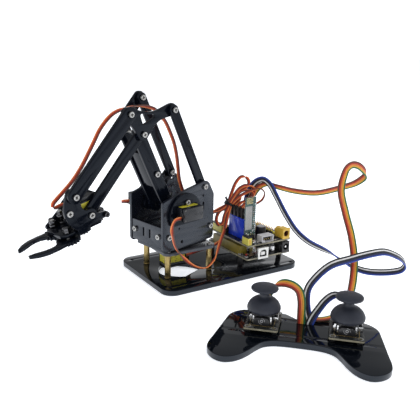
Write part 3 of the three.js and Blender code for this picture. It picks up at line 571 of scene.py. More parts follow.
def widths(path, hints):
    """The direction across a flat cord at each point, from hints given as share of length and direction."""
    across = []
    for i in range(len(path)):
        t = i / (len(path) - 1)
        (ta, a), (tb, b) = hints[0], hints[-1]
        for lo, hi in zip(hints, hints[1:]):
            if lo[0] <= t <= hi[0]:
                (ta, a), (tb, b) = lo, hi
        f = min(1.0, max(0.0, (t - ta) / max(1e-6, tb - ta)))
        f = f * f * (3 - 2 * f)
        want = Vector(a).normalized() * (1 - f) + Vector(b).normalized() * f
        tangent = (path[min(i + 1, len(path) - 1)] - path[max(i - 1, 0)]).normalized()
        side = want - tangent * want.dot(tangent)
        if side.length < 0.25 and across:
            side = across[-1] - tangent * across[-1].dot(tangent)
        across.append(side.normalized())
    for _ in range(6):
        across = [
            (across[max(i - 1, 0)] + across[i] * 2 + across[min(i + 1, len(across) - 1)]).normalized()
            for i in range(len(across))
        ]
    return across


def flat_cord(name, path, across, colours, pitch, radius, sides=10):
    """Round wires side by side along a path, in one mesh with a material for each wire."""
    bm = bmesh.new()
    mesh = bpy.data.meshes.new(name)
    for k, colour in enumerate(colours):
        mesh.materials.append(wire(colour))
        off = (k - (len(colours) - 1) / 2) * pitch
        rings = []
        for i, p in enumerate(path):
            tangent = (path[min(i + 1, len(path) - 1)] - path[max(i - 1, 0)]).normalized()
            side = (across[i] - tangent * across[i].dot(tangent)).normalized()
            up = tangent.cross(side)
            mid = p + side * off
            rings.append([bm.verts.new(mid + side * x + up * y) for x, y in circle(0, 0, radius, sides)])
        for low, high in zip(rings, rings[1:]):
            for j in range(sides):
                f = bm.faces.new((low[j], low[(j + 1) % sides], high[(j + 1) % sides], high[j]))
                f.material_index = k
        for ring in (rings[0][::-1], rings[-1]):
            bm.faces.new(ring).material_index = k
    bmesh.ops.recalc_face_normals(bm, faces=bm.faces)
    bm.to_mesh(mesh)
    bm.free()
    mesh.shade_smooth()
    mesh.set_sharp_from_angle(angle=math.radians(50))
    o = bpy.data.objects.new(name, mesh)
    SCENE.collection.objects.link(o)
    return o


def metres(points, at=OBJECT):
    return [at @ Vector(p) for p in points]


RIGHT = Vector((math.cos(CAMERA_AZIMUTH), math.sin(CAMERA_AZIMUTH), 0))
BACK = Vector((-RIGHT.y, RIGHT.x, 0))
UP = Vector((0, 0, 1))
WARM = (BROWN, RED, ORANGE, YELLOW, GREEN)
COOL = (BLUE, NAVY, BLACK, WHITE, BLACK)
LEAD = (BROWN, RED, ORANGE)
WIRE_PITCH = 0.00132
WIRE_R = 0.00068
LEAD_PITCH = 0.00112
LEAD_R = 0.00058

# Routes in millimetres, in the object's frame or, where that is named, in the turret's.
RIBBON_WARM = [
    [39.2, -7.9, 44.5], [39.2, -8.2, 54], [42, -8.6, 66], [49, -10, 76.5], [54, -17, 81], [59, -29, 80],
    [68, -42, 78], [80, -61, 79], [92, -78, 86], [102, -90, 93], [105, -97, 101], [98, -99, 108],
    [91, -99, 112], [84, -99, 113], [78, -100, 111], [73, -102, 107], [67.1, -105, 93.3],
    [66.9, -112.3, 75.1], [64.3, -124.2, 57.3], [58.3, -135.3, 42], [50.1, -144.2, 29.8],
    [40.4, -151.8, 20.2], [31.7, -157.3, 13], [22.4, -159.3, 8.6], [12.2, -159.6, 7], [3, -157.4, 6.6],
    [-4.1, -153.1, 6.8], [-8.8, -151, 6.8], [-11.6, -151, 4], [-11.9, -150.9, 1.8],
]
RIBBON_COOL = [
    [39.2, -3.9, 44.5], [39.2, -4, 56], [41, -5, 70], [46, -8, 81.5], [50, -16, 86], [52.4, -24, 82],
    [55, -30, 73], [58.6, -43.4, 55], [62, -56, 42], [67, -69, 34], [78, -87, 27], [84, -103, 21],
    [91, -118, 17], [104, -133, 18], [112, -144, 23], [113, -146, 28], [108, -147.3, 33.3],
    [98.6, -148.9, 39.3], [81.6, -148.3, 46.5], [66.7, -147.3, 47.5], [45.2, -142.8, 44.8],
    [25.7, -140.2, 42], [11.2, -139, 33.4], [3.7, -139.3, 25.8], [-3, -145.6, 17.5], [-5.6, -150.4, 11.5],
    [-6.6, -154, 7.4], [-6.9, -155, 4], [-6.9, -155, 1.8],
]
STICK_LEFT = [
    [-28.6, -127.4, 18.6], [-27.4, -126.9, 22.4], [-23.5, -128.4, 30], [-20.4, -137, 35.2],
    [-16.5, -143.5, 34.8], [-13.2, -147.4, 31], [-12.4, -150, 24], [-12.8, -151.4, 14], [-13.2, -152, 6],
    [-13.2, -152, 1.8],
]
STICK_RIGHT = [
    [16.2, -172.9, 18.6], [16.4, -172.2, 22], [14.6, -168.6, 28], [9, -163.6, 28.6], [3.6, -160.4, 24],
    [-2, -158.8, 17], [-6.4, -157.4, 10], [-8.2, -156.6, 5], [-8.3, -156.4, 1.8],
]
CLAW_FRONT_TURRET = [
    [-120.9, -4.4, 90.4], [-124, -4.4, 91], [-128, -4.4, 90.4], [-131.8, -4.4, 89.2], [-134.2, -4.3, 90],
    [-133.4, -3.8, 92.6], [-129.2, -3, 95.8], [-124.3, -2.5, 99.4], [-117.4, -2, 104.7],
    [-111.4, -1.5, 110.2], [-104.2, -1, 118.5], [-97.9, -0.5, 127.4], [-91.5, 0, 136.8], [-86.4, 0, 144.9],
    [-79.7, 1, 151.5], [-71.9, 2, 156.9], [-64, 3, 159.6], [-55, 4, 161.2],
]
CLAW_BACK_TURRET = [
    [-53.4, 4.2, 161.4], [-46.8, 5, 161.8], [-37.4, 6, 161.3], [-27.8, 6.6, 159.4], [-22.1, 6.8, 157],
    [-17.2, 6, 152], [-11.3, 6, 146], [-6.2, 5, 136], [-2.1, 4, 125.5], [0.2, 3, 114.3], [1.3, 2, 102],
    [2, 1, 92], [4, 0, 84], [7.4, -0.6, 76], [12, -1.6, 68], [18, -3, 61],
]
CLAW_BACK_BASE = [
    [-9.3, 0.7, 56], [2, -0.6, 54.5], [11, -1.4, 55.5], [21.2, -1.5, 59.9], [26.5, -2.2, 67.2],
    [32, -5, 73], [37.5, -9.4, 75], [40.5, -13.4, 71.5], [37, -14.8, 66], [31, -14.2, 63.2],
    [26, -14, 60.2],
]
SHOULDER_TURRET = [
    [-26, -33.4, 66.4], [-30, -34, 67], [-34, -34.5, 66.4], [-37, -34.8, 63], [-37.9, -35, 59],
    [-36.8, -35.2, 51.5], [-34.8, -35.6, 43.8], [-30, -35.6, 36.2],
]
SHOULDER_BASE = [
    [-53.7, -39, 30], [-45.9, -37, 22.7], [-37.1, -35, 16.9], [-25.5, -32, 12.9], [-14.9, -28, 16.3],
    [-7.1, -22.4, 21], [-0.9, -17, 26.2], [5.8, -11.8, 32.6], [11.4, -8.4, 39], [15.5, -6, 49.5],
    [21.2, -3, 59.9], [26.5, -5, 66.5], [33, -9.5, 72.5], [41, -14.5, 76.5], [46, -18, 77.5],
    [48.5, -21, 74], [46.5, -21.4, 68], [39, -20.4, 63.5], [30, -20, 63], [26, -20, 60.2],
]
ELBOW_TURRET = [
    [-26, 41, 67], [-29.5, 43.4, 66.8], [-30, 47.4, 65.6], [-26, 49.4, 64.6], [-16, 49, 62], [-2, 46, 58],
    [12, 38, 53], [24, 24, 49.4],
]
ELBOW_BASE = [
    [-8, 17, 48.4], [0, 9, 49.5], [10, 3.6, 55.4], [20.2, 1.5, 61.6], [25, 2.4, 70], [31, 3.2, 81],
    [37, 2, 86.6], [41.6, -1, 85], [42, -3.4, 79.6], [37.6, -2.4, 75], [30, -0.2, 70.6], [24.6, 0, 65.6],
    [20.2, 0, 61.6], [13.4, 0.6, 57], [8, 0.4, 51.6], [5.6, -1.4, 46], [7, -4, 41.6], [11, -4.4, 43.6],
    [13.6, -3.4, 50.4], [17.4, -3.2, 57.6], [20.2, -2, 61.9], [24.2, -3.2, 69], [28, -5.4, 76],
    [33, -8.6, 80], [38, -11.6, 79.6], [42.6, -12.6, 75], [42, -10.6, 68.6], [36, -8.8, 64.4],
    [30, -8.2, 63], [26, -8, 60.2],
]
LEAD_BASE = [
    [-30, -4, 17.6], [-24, -5.4, 19], [-17, -7, 21], [-8, -8.8, 23], [1, -8, 24.4], [9, -5.4, 27],
    [13.4, -2.6, 33], [16.4, 0.6, 45], [18.6, 2.6, 54], [21.2, 3, 59.9], [25.4, 4.4, 65.4], [29.6, 4, 69],
    [33, 2, 68.6], [34, -0.6, 65.4], [30.6, -2, 62.8], [26, -2, 60.2],
]


def declare(nodes):
    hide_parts(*nodes)


def ribbon(name, points, hints, colours):
    path = smooth_path(metres(points), 0.0022)
    o = flat_cord(name + "_wires", path, widths(path, hints), colours, WIRE_PITCH, WIRE_R)
    declare([name])
    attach(o, "base")


def lead(name, node, path, across, join=None, body=None):
    """A servo's three-wire lead, or a stretch of one that runs between two bodies, left where it is drawn.
    """
    o = flat_cord(name, path, across, LEAD, LEAD_PITCH, LEAD_R, 8)
    declare([node])
    if join:
        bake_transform(o)
    else:
        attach(o, body)


def make_ribbons():
    down = -UP + RIGHT * 0.1
    low = BACK - UP - RIGHT
    ribbon("ribbon_warm", RIBBON_WARM, [
        (0.0, RIGHT), (0.09, RIGHT), (0.17, down + BACK * 0.5), (0.34, down + BACK * 0.5),
        (0.41, down), (0.475, down), (0.51, RIGHT - UP), (0.56, RIGHT), (0.80, RIGHT),
        (0.87, BACK), (0.93, BACK), (0.97, HAND_U), (1.0, HAND_U),
    ], WARM)
    ribbon("ribbon_cool", RIBBON_COOL, [
        (0.0, RIGHT), (0.09, RIGHT), (0.15, -UP), (0.20, low), (0.36, low), (0.43, BACK),
        (0.49, UP + BACK), (0.66, UP + BACK), (0.80, UP + BACK * 0.5), (0.90, UP - RIGHT),
        (0.97, -HAND_U), (1.0, -HAND_U),
    ], COOL)
    ribbon("lead_stick_left", STICK_LEFT, [
        (0.0, UP + RIGHT), (0.4, UP + RIGHT), (0.7, RIGHT), (0.85, HAND_U), (1.0, HAND_U),
    ], WARM)
    ribbon("lead_stick_right", STICK_RIGHT, [
        (0.0, -RIGHT), (0.3, UP - RIGHT), (0.7, UP - RIGHT), (0.85, -HAND_U), (1.0, -HAND_U),
    ], COOL)


def nearest(path, point):
    return min(range(len(path)), key=lambda i: (path[i] - Vector(point)).length)


def make_leads():
    step = 0.0018
    yaw_from = (-0.012, 0, 0.06)
    yaw_to = (0.019, 0, 0.06)
    arm = ARM_AXIS
    shoulder = metres(SHOULDER_TURRET, TURRET) + metres(SHOULDER_BASE)
    path = smooth_path(shoulder, step)
    hints = [(0.0, UP), (0.06, UP), (0.12, arm), (0.3, RIGHT), (0.5, BACK + UP), (0.72, RIGHT), (1.0, arm)]
    lead("lead_shoulder_wires", "lead_shoulder", path, widths(path, hints),
        ("turret", "base", yaw_from, yaw_to))
    path = smooth_path(metres(ELBOW_TURRET, TURRET) + metres(ELBOW_BASE), step)
    hints = [(0.0, UP), (0.3, UP), (0.5, RIGHT), (1.0, RIGHT)]
    lead("lead_elbow_wires", "lead_elbow", path, widths(path, hints), ("turret", "base", yaw_from, yaw_to))
    path = smooth_path(metres(LEAD_BASE), step)
    lead("lead_base_wires", "lead_base", path, widths(path, [(0.0, UP), (0.5, UP), (1.0, RIGHT)]),
        body="base")

    front = smooth_path(metres(CLAW_FRONT_TURRET, TURRET), step)
    face = UP - RIGHT
    across = widths(front, [(0.0, arm), (0.1, face), (0.9, face), (1.0, arm)])
    cut = nearest(front, TURRET @ Vector((-104.2, -1, 118.5)))
    low = TURRET @ Vector((-124.3, -2.5, 99.4))
    lead("lead_claw_wrist", "lead_claw_front", front[: cut + 1], across[: cut + 1],
         ("claw", "forearm", tuple(TURRET @ Vector((-131, 0, 89))), tuple(low)))
    top = TURRET @ Vector((-58, 4, 160.6))
    lead("lead_claw_forearm", "lead_claw_front", front[cut:], across[cut:],
         ("forearm", "level_plate", tuple(TURRET @ Vector((-86, 0, 145))), tuple(top)))
    back = smooth_path(metres(CLAW_BACK_TURRET, TURRET) + metres(CLAW_BACK_BASE), step)
    back[0] = front[-1] + (back[0] - front[-1]) * 0.02
    across = widths(back, [(0.0, arm), (0.12, -RIGHT - UP), (0.6, -RIGHT), (0.75, arm), (1.0, RIGHT)])
    crest = nearest(back, TURRET @ Vector((-24, 6.8, 158)))
    knee = nearest(back, TURRET @ Vector((0.2, 3, 114.3)))
    foot = nearest(back, TURRET @ Vector((7.4, -0.6, 76)))
    for name, a, b, join in (
        ("lead_claw_crest", 0, crest, ("level_plate", "main_arm", tuple(back[6]), tuple(back[crest]))),
        ("lead_claw_fall", crest, foot, ("main_arm", "turret", tuple(back[crest]), tuple(back[knee]))),
        ("lead_claw_tail", foot, len(back) - 1, ("turret", "base", tuple(back[foot]), yaw_to)),
    ):
        lead(name, "lead_claw_back", back[a : b + 1], across[a : b + 1], join)


make_camera()
make_ribbons()
make_leads()


# ================= plates =================
THICK = 3.0
HOLE = 1.6
Y_SIDE_NEAR, Y_ROD_NEAR, Y_LEVEL, Y_FORE_NEAR, Y_MAIN_NEAR = -24.0, -20.7, -17.4, -14.1, -10.8
Y_MAIN_FAR, Y_DRIVE_ROD, Y_FORE_FAR, Y_SIDE_FAR, Y_CLAW_FAR = 7.8, 14.4, 17.7, 21.0, 14.4
GAP = 0.3
SERVO_SHAFT, SERVO_L, SERVO_W, SERVO_H = 6.1, 22.8, 12.2, 22.5


def sheet_xz(name, body, outline, holes, y0, node, at=TURRET, mat="sheet"):
    p = Piece(name, body, at, "acrylic_black", [node])
    p.plate(outline, holes, y0, y0 + THICK, mat, "y")
    return p.done()


def link(name, body, a, b, width, y0, node, extra=(), holes=()):
    outline = hull([(*a, width / 2), (*b, width / 2), *extra])
    bores = [circle(*a, HOLE), circle(*b, HOLE), *holes]
    return sheet_xz(name, body, outline, bores, y0, node)


def toward(a, b, share, off=0.0):
    """A point part of the way from a to b, moved sideways by off."""
    dx, dz = b[0] - a[0], b[1] - a[1]
    d = math.hypot(dx, dz)
    return a[0] + dx * share - dz / d * off, a[1] + dz * share + dx / d * off


def servo_pocket(slack=0.4):
    """The opening in a side panel for the case of the servo at the shoulder."""
    x, z = SHOULDER
    left, right = x - SERVO_SHAFT - slack, x + SERVO_L - SERVO_SHAFT + slack
    low, high = z - SERVO_W / 2 - slack, z + SERVO_W / 2 + slack
    return [(left, low), (right, low), (right, high), (left, high)]


SIDE_LOW = 35.6
SIDE_OUTLINE = [
    (-34.8, SIDE_LOW - 0.5), (0, SIDE_LOW), (20, SIDE_LOW + 0.7), (21.6, SIDE_LOW + 1.2),
    (23, SIDE_LOW + 2.6), (23.4, SIDE_LOW + 4), (23.4, 78.8), (22.9, 80.6), (19, 87.4), (17.2, 90.6),
    (15.2, 92.2), (13, 93), (10.5, 93.2), (1.2, 91), (-12.8, 88), (-37, 81), (-38.2, 80.2), (-38.6, 79),
    (-38.7, SIDE_LOW + 3.6), (-38.2, SIDE_LOW + 1.4), (-36.8, SIDE_LOW - 0.1),
]
SIDE_SCREWS = [(19.1, 48.9), (-32.0, 47.6)]
COLLAR_SCREW = (-13.4, 77.8)


def make_turret_plates():
    holes = [
        circle(*REAR_LOW, HOLE), *[circle(*p, HOLE) for p in SIDE_SCREWS], circle(9.4, 79.6, 0.9),
        circle(-16.1, 40.6, 1.4), circle(-19.7, 53.7, 0.8), rounded(9, 10.8, 66, 73.6, 0.5, 3),
        servo_pocket(),
    ]
    for side, y0 in (("near", Y_SIDE_NEAR), ("far", Y_SIDE_FAR)):
        sheet_xz("side_panel_" + side, "turret", SIDE_OUTLINE, holes, y0, "side_plate_" + side,
            mat="acrylic")
        sx, sz = SHOULDER[0] + 4.6, SHOULDER[1] - 1.5
        y = Y_SIDE_NEAR - THICK - GAP if side == "near" else Y_SIDE_FAR + THICK + GAP
        arch = arc(sx, sz, 18.5, -30, 212, 48)
        cuts = [servo_pocket(), circle(-14.5, 78.6, 1.3)]
        sheet_xz("collar_" + side, "turret", arch, cuts, y, "servo_collar_" + side)
    front = Piece("cross_panel", "turret", TURRET, "acrylic_black", ["cross_plate"])
    slots = [rounded(v - 1.1, v + 1.1, 44, 52, 0.5, 3) for v in (-4.6, 4.2)]
    bores = [circle(v, 48, HOLE) for v in (-17.3, 15.9)]
    across = Matrix.Translation((-36.6, 0, 0)) @ Matrix.Rotation(math.pi / 2, 4, "Z")
    outline = [(-20.4, 37.6), (20.4, 37.6), (20.4, 57), (-20.4, 57)]
    front.plate(outline, slots + bores, -1.5, 1.5, "acrylic", "y", matrix=across)
    front.done()
    z0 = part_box("turret_floor")[0].z * 1000
    floor = Piece("turret_base", "turret", TURRET, "acrylic_black", ["turret_floor"])
    bores = [circle(0, 0, 2.6), circle(-14, 0, 1), circle(12, 0, 1)]
    floor.plate(rounded(-34.2, 20, -20.7, 20.7, 4), bores, z0, z0 + THICK, "acrylic")
    floor.done()


def make_arm_plates():
    middle = [circle(*toward(SHOULDER, ELBOW, 0.5), 0.9)]
    link("main_link_near", "main_arm", SHOULDER, ELBOW, 12, Y_MAIN_NEAR, "main_arm_near", holes=middle)
    link("main_link_far", "main_arm", SHOULDER, ELBOW, 12, Y_MAIN_FAR, "main_arm_far", holes=middle)
    web = Piece("main_link_web", "main_arm", TURRET, "acrylic_black", ["main_arm_web"])
    length = math.dist(SHOULDER, ELBOW)
    spots = ((27, 1.7), (62, 1.7), (62, 4.7), (27, 4.7))
    corners = [toward(SHOULDER, ELBOW, s / length, off) for s, off in spots]
    web.plate(corners, [], Y_MAIN_NEAR + THICK + GAP, Y_MAIN_FAR - GAP, "sheet", "y")
    web.done()
    link("crank_link", "crank", SHOULDER, CRANK_END, 9, Y_FORE_FAR, "crank", [(*SHOULDER, 6.5)])
    link("drive_link", "drive_rod", CRANK_END, TAIL, 9, Y_DRIVE_ROD, "drive_rod")
    link("rear_level_link", "rear_level_rod", REAR_LOW, REAR_TOP, 9, Y_ROD_NEAR, "rear_level_rod")
    link("front_level_link", "front_level_rod", FRONT_TOP, FRONT_LOW, 12, Y_ROD_NEAR, "front_level_rod")
    link("forearm_link_near", "forearm", ELBOW, WRIST, 10, Y_FORE_NEAR, "forearm_near")
    link("forearm_link_far", "forearm", TAIL, WRIST, 11, Y_FORE_FAR, "forearm_far",
        holes=[circle(*ELBOW, HOLE)])


def scooped(a, b, away, depth, r=5.5, n=14):
    """The side of a plate between two round ends, drawn in as a shallow arc."""
    length = math.dist(a, b)
    nx, nz = (b[1] - a[1]) / length, -(b[0] - a[0]) / length
    s = 1 if (a[0] - away[0]) * nx + (a[1] - away[1]) * nz > 0 else -1
    start = (a[0] + s * nx * r, a[1] + s * nz * r)
    end = (b[0] + s * nx * r, b[1] + s * nz * r)
    pts = []
    for i in range(n + 1):
        t = i / n
        dip = depth * math.sin(math.pi * t) ** 1.3
        x, z = start[0] + (end[0] - start[0]) * t, start[1] + (end[1] - start[1]) * t
        pts.append((x - s * nx * dip, z - s * nz * dip))
    return pts


def make_level_plate():
    ends = [ELBOW, REAR_TOP, FRONT_TOP]
    depths = [5.2, 5.6, 1.5]
    outline = []
    for i in range(3):
        a, b, c = ends[i], ends[(i + 1) % 3], ends[(i + 2) % 3]
        run = scooped(a, b, c, depths[i])
        if outline:
            x0, z0 = outline[-1][0] - a[0], outline[-1][1] - a[1]
            x1, z1 = run[0][0] - a[0], run[0][1] - a[1]
            start, stop = math.degrees(math.atan2(z0, x0)), math.degrees(math.atan2(z1, x1))
            stop += 360 if stop < start else 0
            outline += arc(*a, 5.5, start, stop, 16)[1:-1]
        outline += run
    a = ends[0]
    start = math.degrees(math.atan2(outline[-1][1] - a[1], outline[-1][0] - a[0]))
    stop = math.degrees(math.atan2(outline[0][1] - a[1], outline[0][0] - a[0]))
    stop += 360 if stop < start else 0
    outline += arc(*a, 5.5, start, stop, 16)[1:-1]
    mid = toward(toward(ELBOW, REAR_TOP, 0.42), FRONT_TOP, 0.36)
    x, z = mid
    window = hull([(ELBOW[0] + 0.5, ELBOW[1] + 10, 1.6), (x + 8, z + 2.8, 1.4), (x - 4, z + 4, 1.6)])
    bores = [circle(*p, HOLE) for p in ends]
    sheet_xz("level_triangle", "level_plate", outline, [window, *bores], Y_LEVEL, "level_plate")


BASE_HX, BASE_HY, BASE_T = 76.0, 49.0, 5.0


def make_base_plates():
    window = [
        (-59.5, -6), (-57.5, 1), (-53, 9), (-47, 15.4), (-40, 17.4), (-33, 14.6), (-24, 7.4), (-19.4, 1),
        (-16.2, -7), (-17.4, -13.6), (-24, -15.2), (-34, -19.6), (-42.5, -23.6), (-47, -22),
        (-52.5, -17.4), (-58, -12),
    ]
    corners = [(-66.5, 39.5), (68, -43), (68, 40), (-68, -40)]
    base = Piece("base_sheet", "base", OBJECT, "base_black", ["base_plate"])
    holes = [window, *[circle(*p, 1.6) for p in corners]]
    base.plate(rounded(-BASE_HX, BASE_HX, -BASE_HY, BASE_HY, 12, 16), holes, 0, BASE_T, "base", bevel=0.45)
    base.done()
    x, y = YAW_AT.x * 1000, YAW_AT.y * 1000
    z0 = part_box("servo_deck")[0].z * 1000
    deck = Piece("servo_shelf", "base", OBJECT, "acrylic_black", ["servo_deck"])
    pocket = [(x - 17.1, y - 6.5), (x + 6.5, y - 6.5), (x + 6.5, y + 6.5), (x - 17.1, y + 6.5)]
    deck.plate(rounded(x - 27.5, x + 27.5, y - 26, y + 26, 5), [pocket], z0, z0 + THICK, "smoke")
    deck.done()


# The right half of the handset's outline, from the front notch round the grip to the rear notch.
GRIP = [
    (0, -21.9), (12, -22.2), (20, -23.6), (26, -27), (30.5, -33.5), (35, -42), (40, -49), (45.5, -53.4),
    (51, -55), (56.5, -53.6), (61.6, -49.6), (65, -43.8), (65.6, -37), (63.9, -24), (61.8, -8), (60.2, 4),
    (58.6, 13.5), (54.6, 19.8), (48.6, 24), (42, 24.8), (28, 24.7), (15, 24.6), (9.5, 21), (4.5, 17.4),
    (0, 16.6),
]


def make_handset_plate():
    fine = smooth_path([(-GRIP[1][0], GRIP[1][1], 0), *[(u, w, 0) for u, w in GRIP], (-4.5, 17.4, 0)], 1.4)
    right = [(p.x, p.y) for p in fine if p.x >= 0.4]
    shift_u, shift_w = -2, -1.2
    outline = [(u + shift_u, w + shift_w) for u, w in right + [(-u, w) for u, w in right[::-1]]]
    slot = rounded(-6.6, 6.6, 9, 13.4, 1, 4)
    bores = [circle(s * STICK_U + a, b, 1.6) for s in (-1, 1) for a in (-10, 10) for b in (-13.5, 13.5)]
    plate = Piece("handset_sheet", "base", HANDSET, "base_black", ["handset_plate"])
    plate.plate(outline, [slot, *bores], 0, 5, "base", bevel=0.45)
    plate.done()


# ================= screws, nuts and posts =================
def plus_shape(r, w):
    """A cross with arms of length r and width w."""
    h = w / 2
    quarter = [(h, -r), (h, -h), (r, -h)]
    turns = ((1, 0), (0, 1), (-1, 0), (0, -1))
    return [(x * c - y * s, x * s + y * c) for c, s in turns for x, y in quarter]


def screw_head(p, at, mat="steel", r=2.5, height=1.9, turn=0.0):
    """A cross-head pan screw: its underside at the frame's origin, its head towards +z."""
    spin = at @ Matrix.Rotation(turn, 4, "Z")
    p.plate(circle(0, 0, r, 32), [plus_shape(r * 0.58, r * 0.26)], 0.5, height, mat, bevel=0.42,
        matrix=spin)
    p.rod("z", 0, 0, 0, 0.62, r * 0.97, mat, 28, 0.12, matrix=spin)
    # The dark disc at the floor of the cross recess is painted shade.
    p.rod("z", 0, 0, 0.56, 0.76, r * 0.66, "recess_shade", 20, 0, matrix=spin)


def nut(p, at, r=3.0, height=2.4, shank=1.2, mat="steel"):
    """A hexagon nut with the screw's end standing out of it."""
    p.rod("z", 0, 0, 0, height, r, mat, 6, 0.35, matrix=at)
    p.rod("z", 0, 0, 0, height + shank, 1.48, mat, 18, 0.15, 1.3, matrix=at)


def facing(axis, x, y, z):
    """A frame at a point whose +z looks along an axis such as "-y"."""
    ways = {
        "+y": Matrix.Rotation(-math.pi / 2, 4, "X"), "-y": Matrix.Rotation(math.pi / 2, 4, "X"),
        "+x": Matrix.Rotation(math.pi / 2, 4, "Y"), "-x": Matrix.Rotation(-math.pi / 2, 4, "Y"),
        "+z": FLAT, "-z": Matrix.Rotation(math.pi, 4, "X"),
    }
    return Matrix.Translation((x, y, z)) @ ways[axis]


def bolt(name, body, x, z, head_y, nut_y, replaces=(), head="-y", nut_mat="steel", r=2.5, with_nut=True):
    """A screw along y from its head to its nut."""
    p = Piece(name, body, TURRET, "screw_steel", replaces)
    back = {"-y": "+y", "+y": "-y"}[head]
    screw_head(p, facing(head, x, head_y, z), r=r, turn=random.uniform(0, 1.5))
    p.rod("y", x, z, min(head_y, nut_y), max(head_y, nut_y), 1.45, "steel", 20)
    if with_nut:
        nut(p, facing(back, x, nut_y, z), mat=nut_mat)
    return p.done()


def make_bolts():
    far_out = Y_FORE_FAR + THICK + GAP
    bolt("elbow_bolt", "level_plate", *ELBOW, Y_LEVEL - GAP, far_out, replaces=["elbow_screw"])
    bolt("tail_bolt", "forearm", *TAIL, Y_DRIVE_ROD - GAP, far_out, replaces=["tail_screw"])
    bolt("crank_bolt", "crank_pin", *CRANK_END, Y_DRIVE_ROD - GAP, Y_FORE_FAR + THICK - 0.2,
        replaces=["crank_pin"], with_nut=False)
    bolt("wrist_bolt_near", "claw", *WRIST, Y_LEVEL - GAP, Y_FORE_NEAR + THICK - 0.1,
        replaces=["wrist_screw_near"], with_nut=False)
    bolt("wrist_bolt_far", "claw", *WRIST, far_out, Y_CLAW_FAR - GAP, replaces=["wrist_screw_far"],
        head="+y")
    bolt("rear_top_bolt", "level_plate", *REAR_TOP, Y_ROD_NEAR - GAP, Y_LEVEL + THICK + GAP)
    bolt("front_top_bolt", "level_plate", *FRONT_TOP, Y_ROD_NEAR - GAP, Y_LEVEL + THICK + GAP,
        with_nut=False)
    bolt("front_low_bolt", "claw", *FRONT_LOW, Y_ROD_NEAR - GAP, Y_LEVEL + THICK + GAP)
    bolt("rear_low_bolt", "turret", *REAR_LOW, Y_SIDE_NEAR, Y_ROD_NEAR + THICK + GAP)
    bolt("main_mid_bolt_near", "main_arm", *toward(SHOULDER, ELBOW, 0.47, -1.0), Y_MAIN_NEAR,
        Y_MAIN_NEAR + THICK, with_nut=False, r=2.6)
    bolt("shoulder_bolt", "main_arm", *SHOULDER, Y_MAIN_NEAR + THICK + 1.2, Y_MAIN_NEAR + 0.3,
        head="+y", with_nut=False, r=2.3)
    for i, (x, z) in enumerate(SIDE_SCREWS):
        bolt(f"side_bolt_near_{i}", "turret", x, z, Y_SIDE_NEAR, Y_SIDE_NEAR + THICK, nut_mat="chrome")
        bolt(f"side_bolt_far_{i}", "turret", x, z, Y_SIDE_FAR + THICK, Y_SIDE_FAR, head="+y",
            nut_mat="chrome")
    bolt("collar_bolt_near", "turret", *COLLAR_SCREW, Y_SIDE_NEAR - THICK - GAP, Y_SIDE_NEAR + THICK)
    bolt("collar_bolt_far", "turret", *COLLAR_SCREW, Y_SIDE_FAR + 2 * THICK + GAP, Y_SIDE_FAR, head="+y")
    cross = Piece("cross_bolts", "turret", TURRET, "screw_steel")
    for y in (-17.3, 15.9):
        screw_head(cross, facing("-x", -38.1, y, 48), turn=0.6)
        cross.rod("x", y, 48, -38, -30, 1.45, "steel", 18)
        nut(cross, facing("+x", -35.1, y, 48), mat="chrome")
    cross.done()


def make_posts():
    for i in range(1, 5):
        node = f"brass_post_{i}"
        lo, hi = (v * 1000 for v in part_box(node))
        x, y = (lo.x + hi.x) / 2, (lo.y + hi.y) / 2
        p = Piece(f"standoff_{i}", "base", OBJECT, "brass", [node])
        p.rod("z", x, y, lo.z, hi.z, 2.9, "brass", 6, 0.35)
        p.rod("z", x, y, lo.z + 0.6, lo.z + 1.4, 3.0, "brass", 24, 0.2)
        screw_head(p, facing("+z", x, y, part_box("servo_deck")[1].z * 1000), r=2.7, height=1.3)
        p.done()


# ================= servos =================
def make_servo(name, node, body, at, boss, shaft, flange):
    """A micro servo: shaft at the frame's origin along +z, body below and towards +x."""
    x0, x1, w = -SERVO_SHAFT, SERVO_L - SERVO_SHAFT, SERVO_W / 2
    p = Piece(name, body, at, "servo_case", [node])
    p.box(x0, x1, -w, w, flange + 0.05, 0, "servo", 0.45)
    p.box(x0 + 0.12, x1 - 0.12, -w + 0.12, w - 0.12, -SERVO_H + 4.0, flange, "servo", 0.2)
    p.box(x0, x1, -w, w, -SERVO_H + 4.25, flange - 2.4, "servo", 0.3)
    p.box(x0, x1, -w, w, -SERVO_H, -SERVO_H + 3.9, "servo", 0.5)
    lug = rounded(x0 - 4.7, x1 + 4.7, -w, w, 0.8, 4)
    slots = [hull([(x, 0, 1.1), (x + s * 1.6, 0, 0.7)], 20) for x, s in ((x0 - 2.4, -1), (x1 + 2.4, 1))]
    p.plate(lug, slots, flange - 2.4, flange, "servo", bevel=0.25)
    # The dark discs on the case's underside are painted shade for its screw holes.
    for x in (x0 + 1.5, x1 - 1.5):
        for y in (-w + 1.5, w - 1.5):
            p.rod("z", x, y, -SERVO_H - 0.02, -SERVO_H + 0.3, 0.85, "recess_shade", 14, 0.1)
    if boss > 0:
        p.rod("z", 0, 0, -0.1, boss, 5.8, "servo", 40, 0.35)
        p.rod("z", 8.4, 0, -0.1, boss, 2.8, "servo", 28, 0.35)
    p.rod("z", 0, 0, boss - 0.1, shaft, 2.3, "white", 20, 0.2)
    p.box(x0 - 0.9, x0 + 0.3, -2.1, 2.1, -SERVO_H + 1.3, -SERVO_H + 3.6, "plastic", 0.25)
    for s in (-1, 1):
        p.box(x0 + 1.6, x1 - 1.6, s * w - 0.07, s * w + 0.07, -SERVO_H + 5, flange - 3.4, "label", 0.03)
    p.box(x1 - 0.07, x1 + 0.07, -w + 1.2, w - 1.2, -SERVO_H + 5, flange - 3.4, "label", 0.03)
    return p.done()


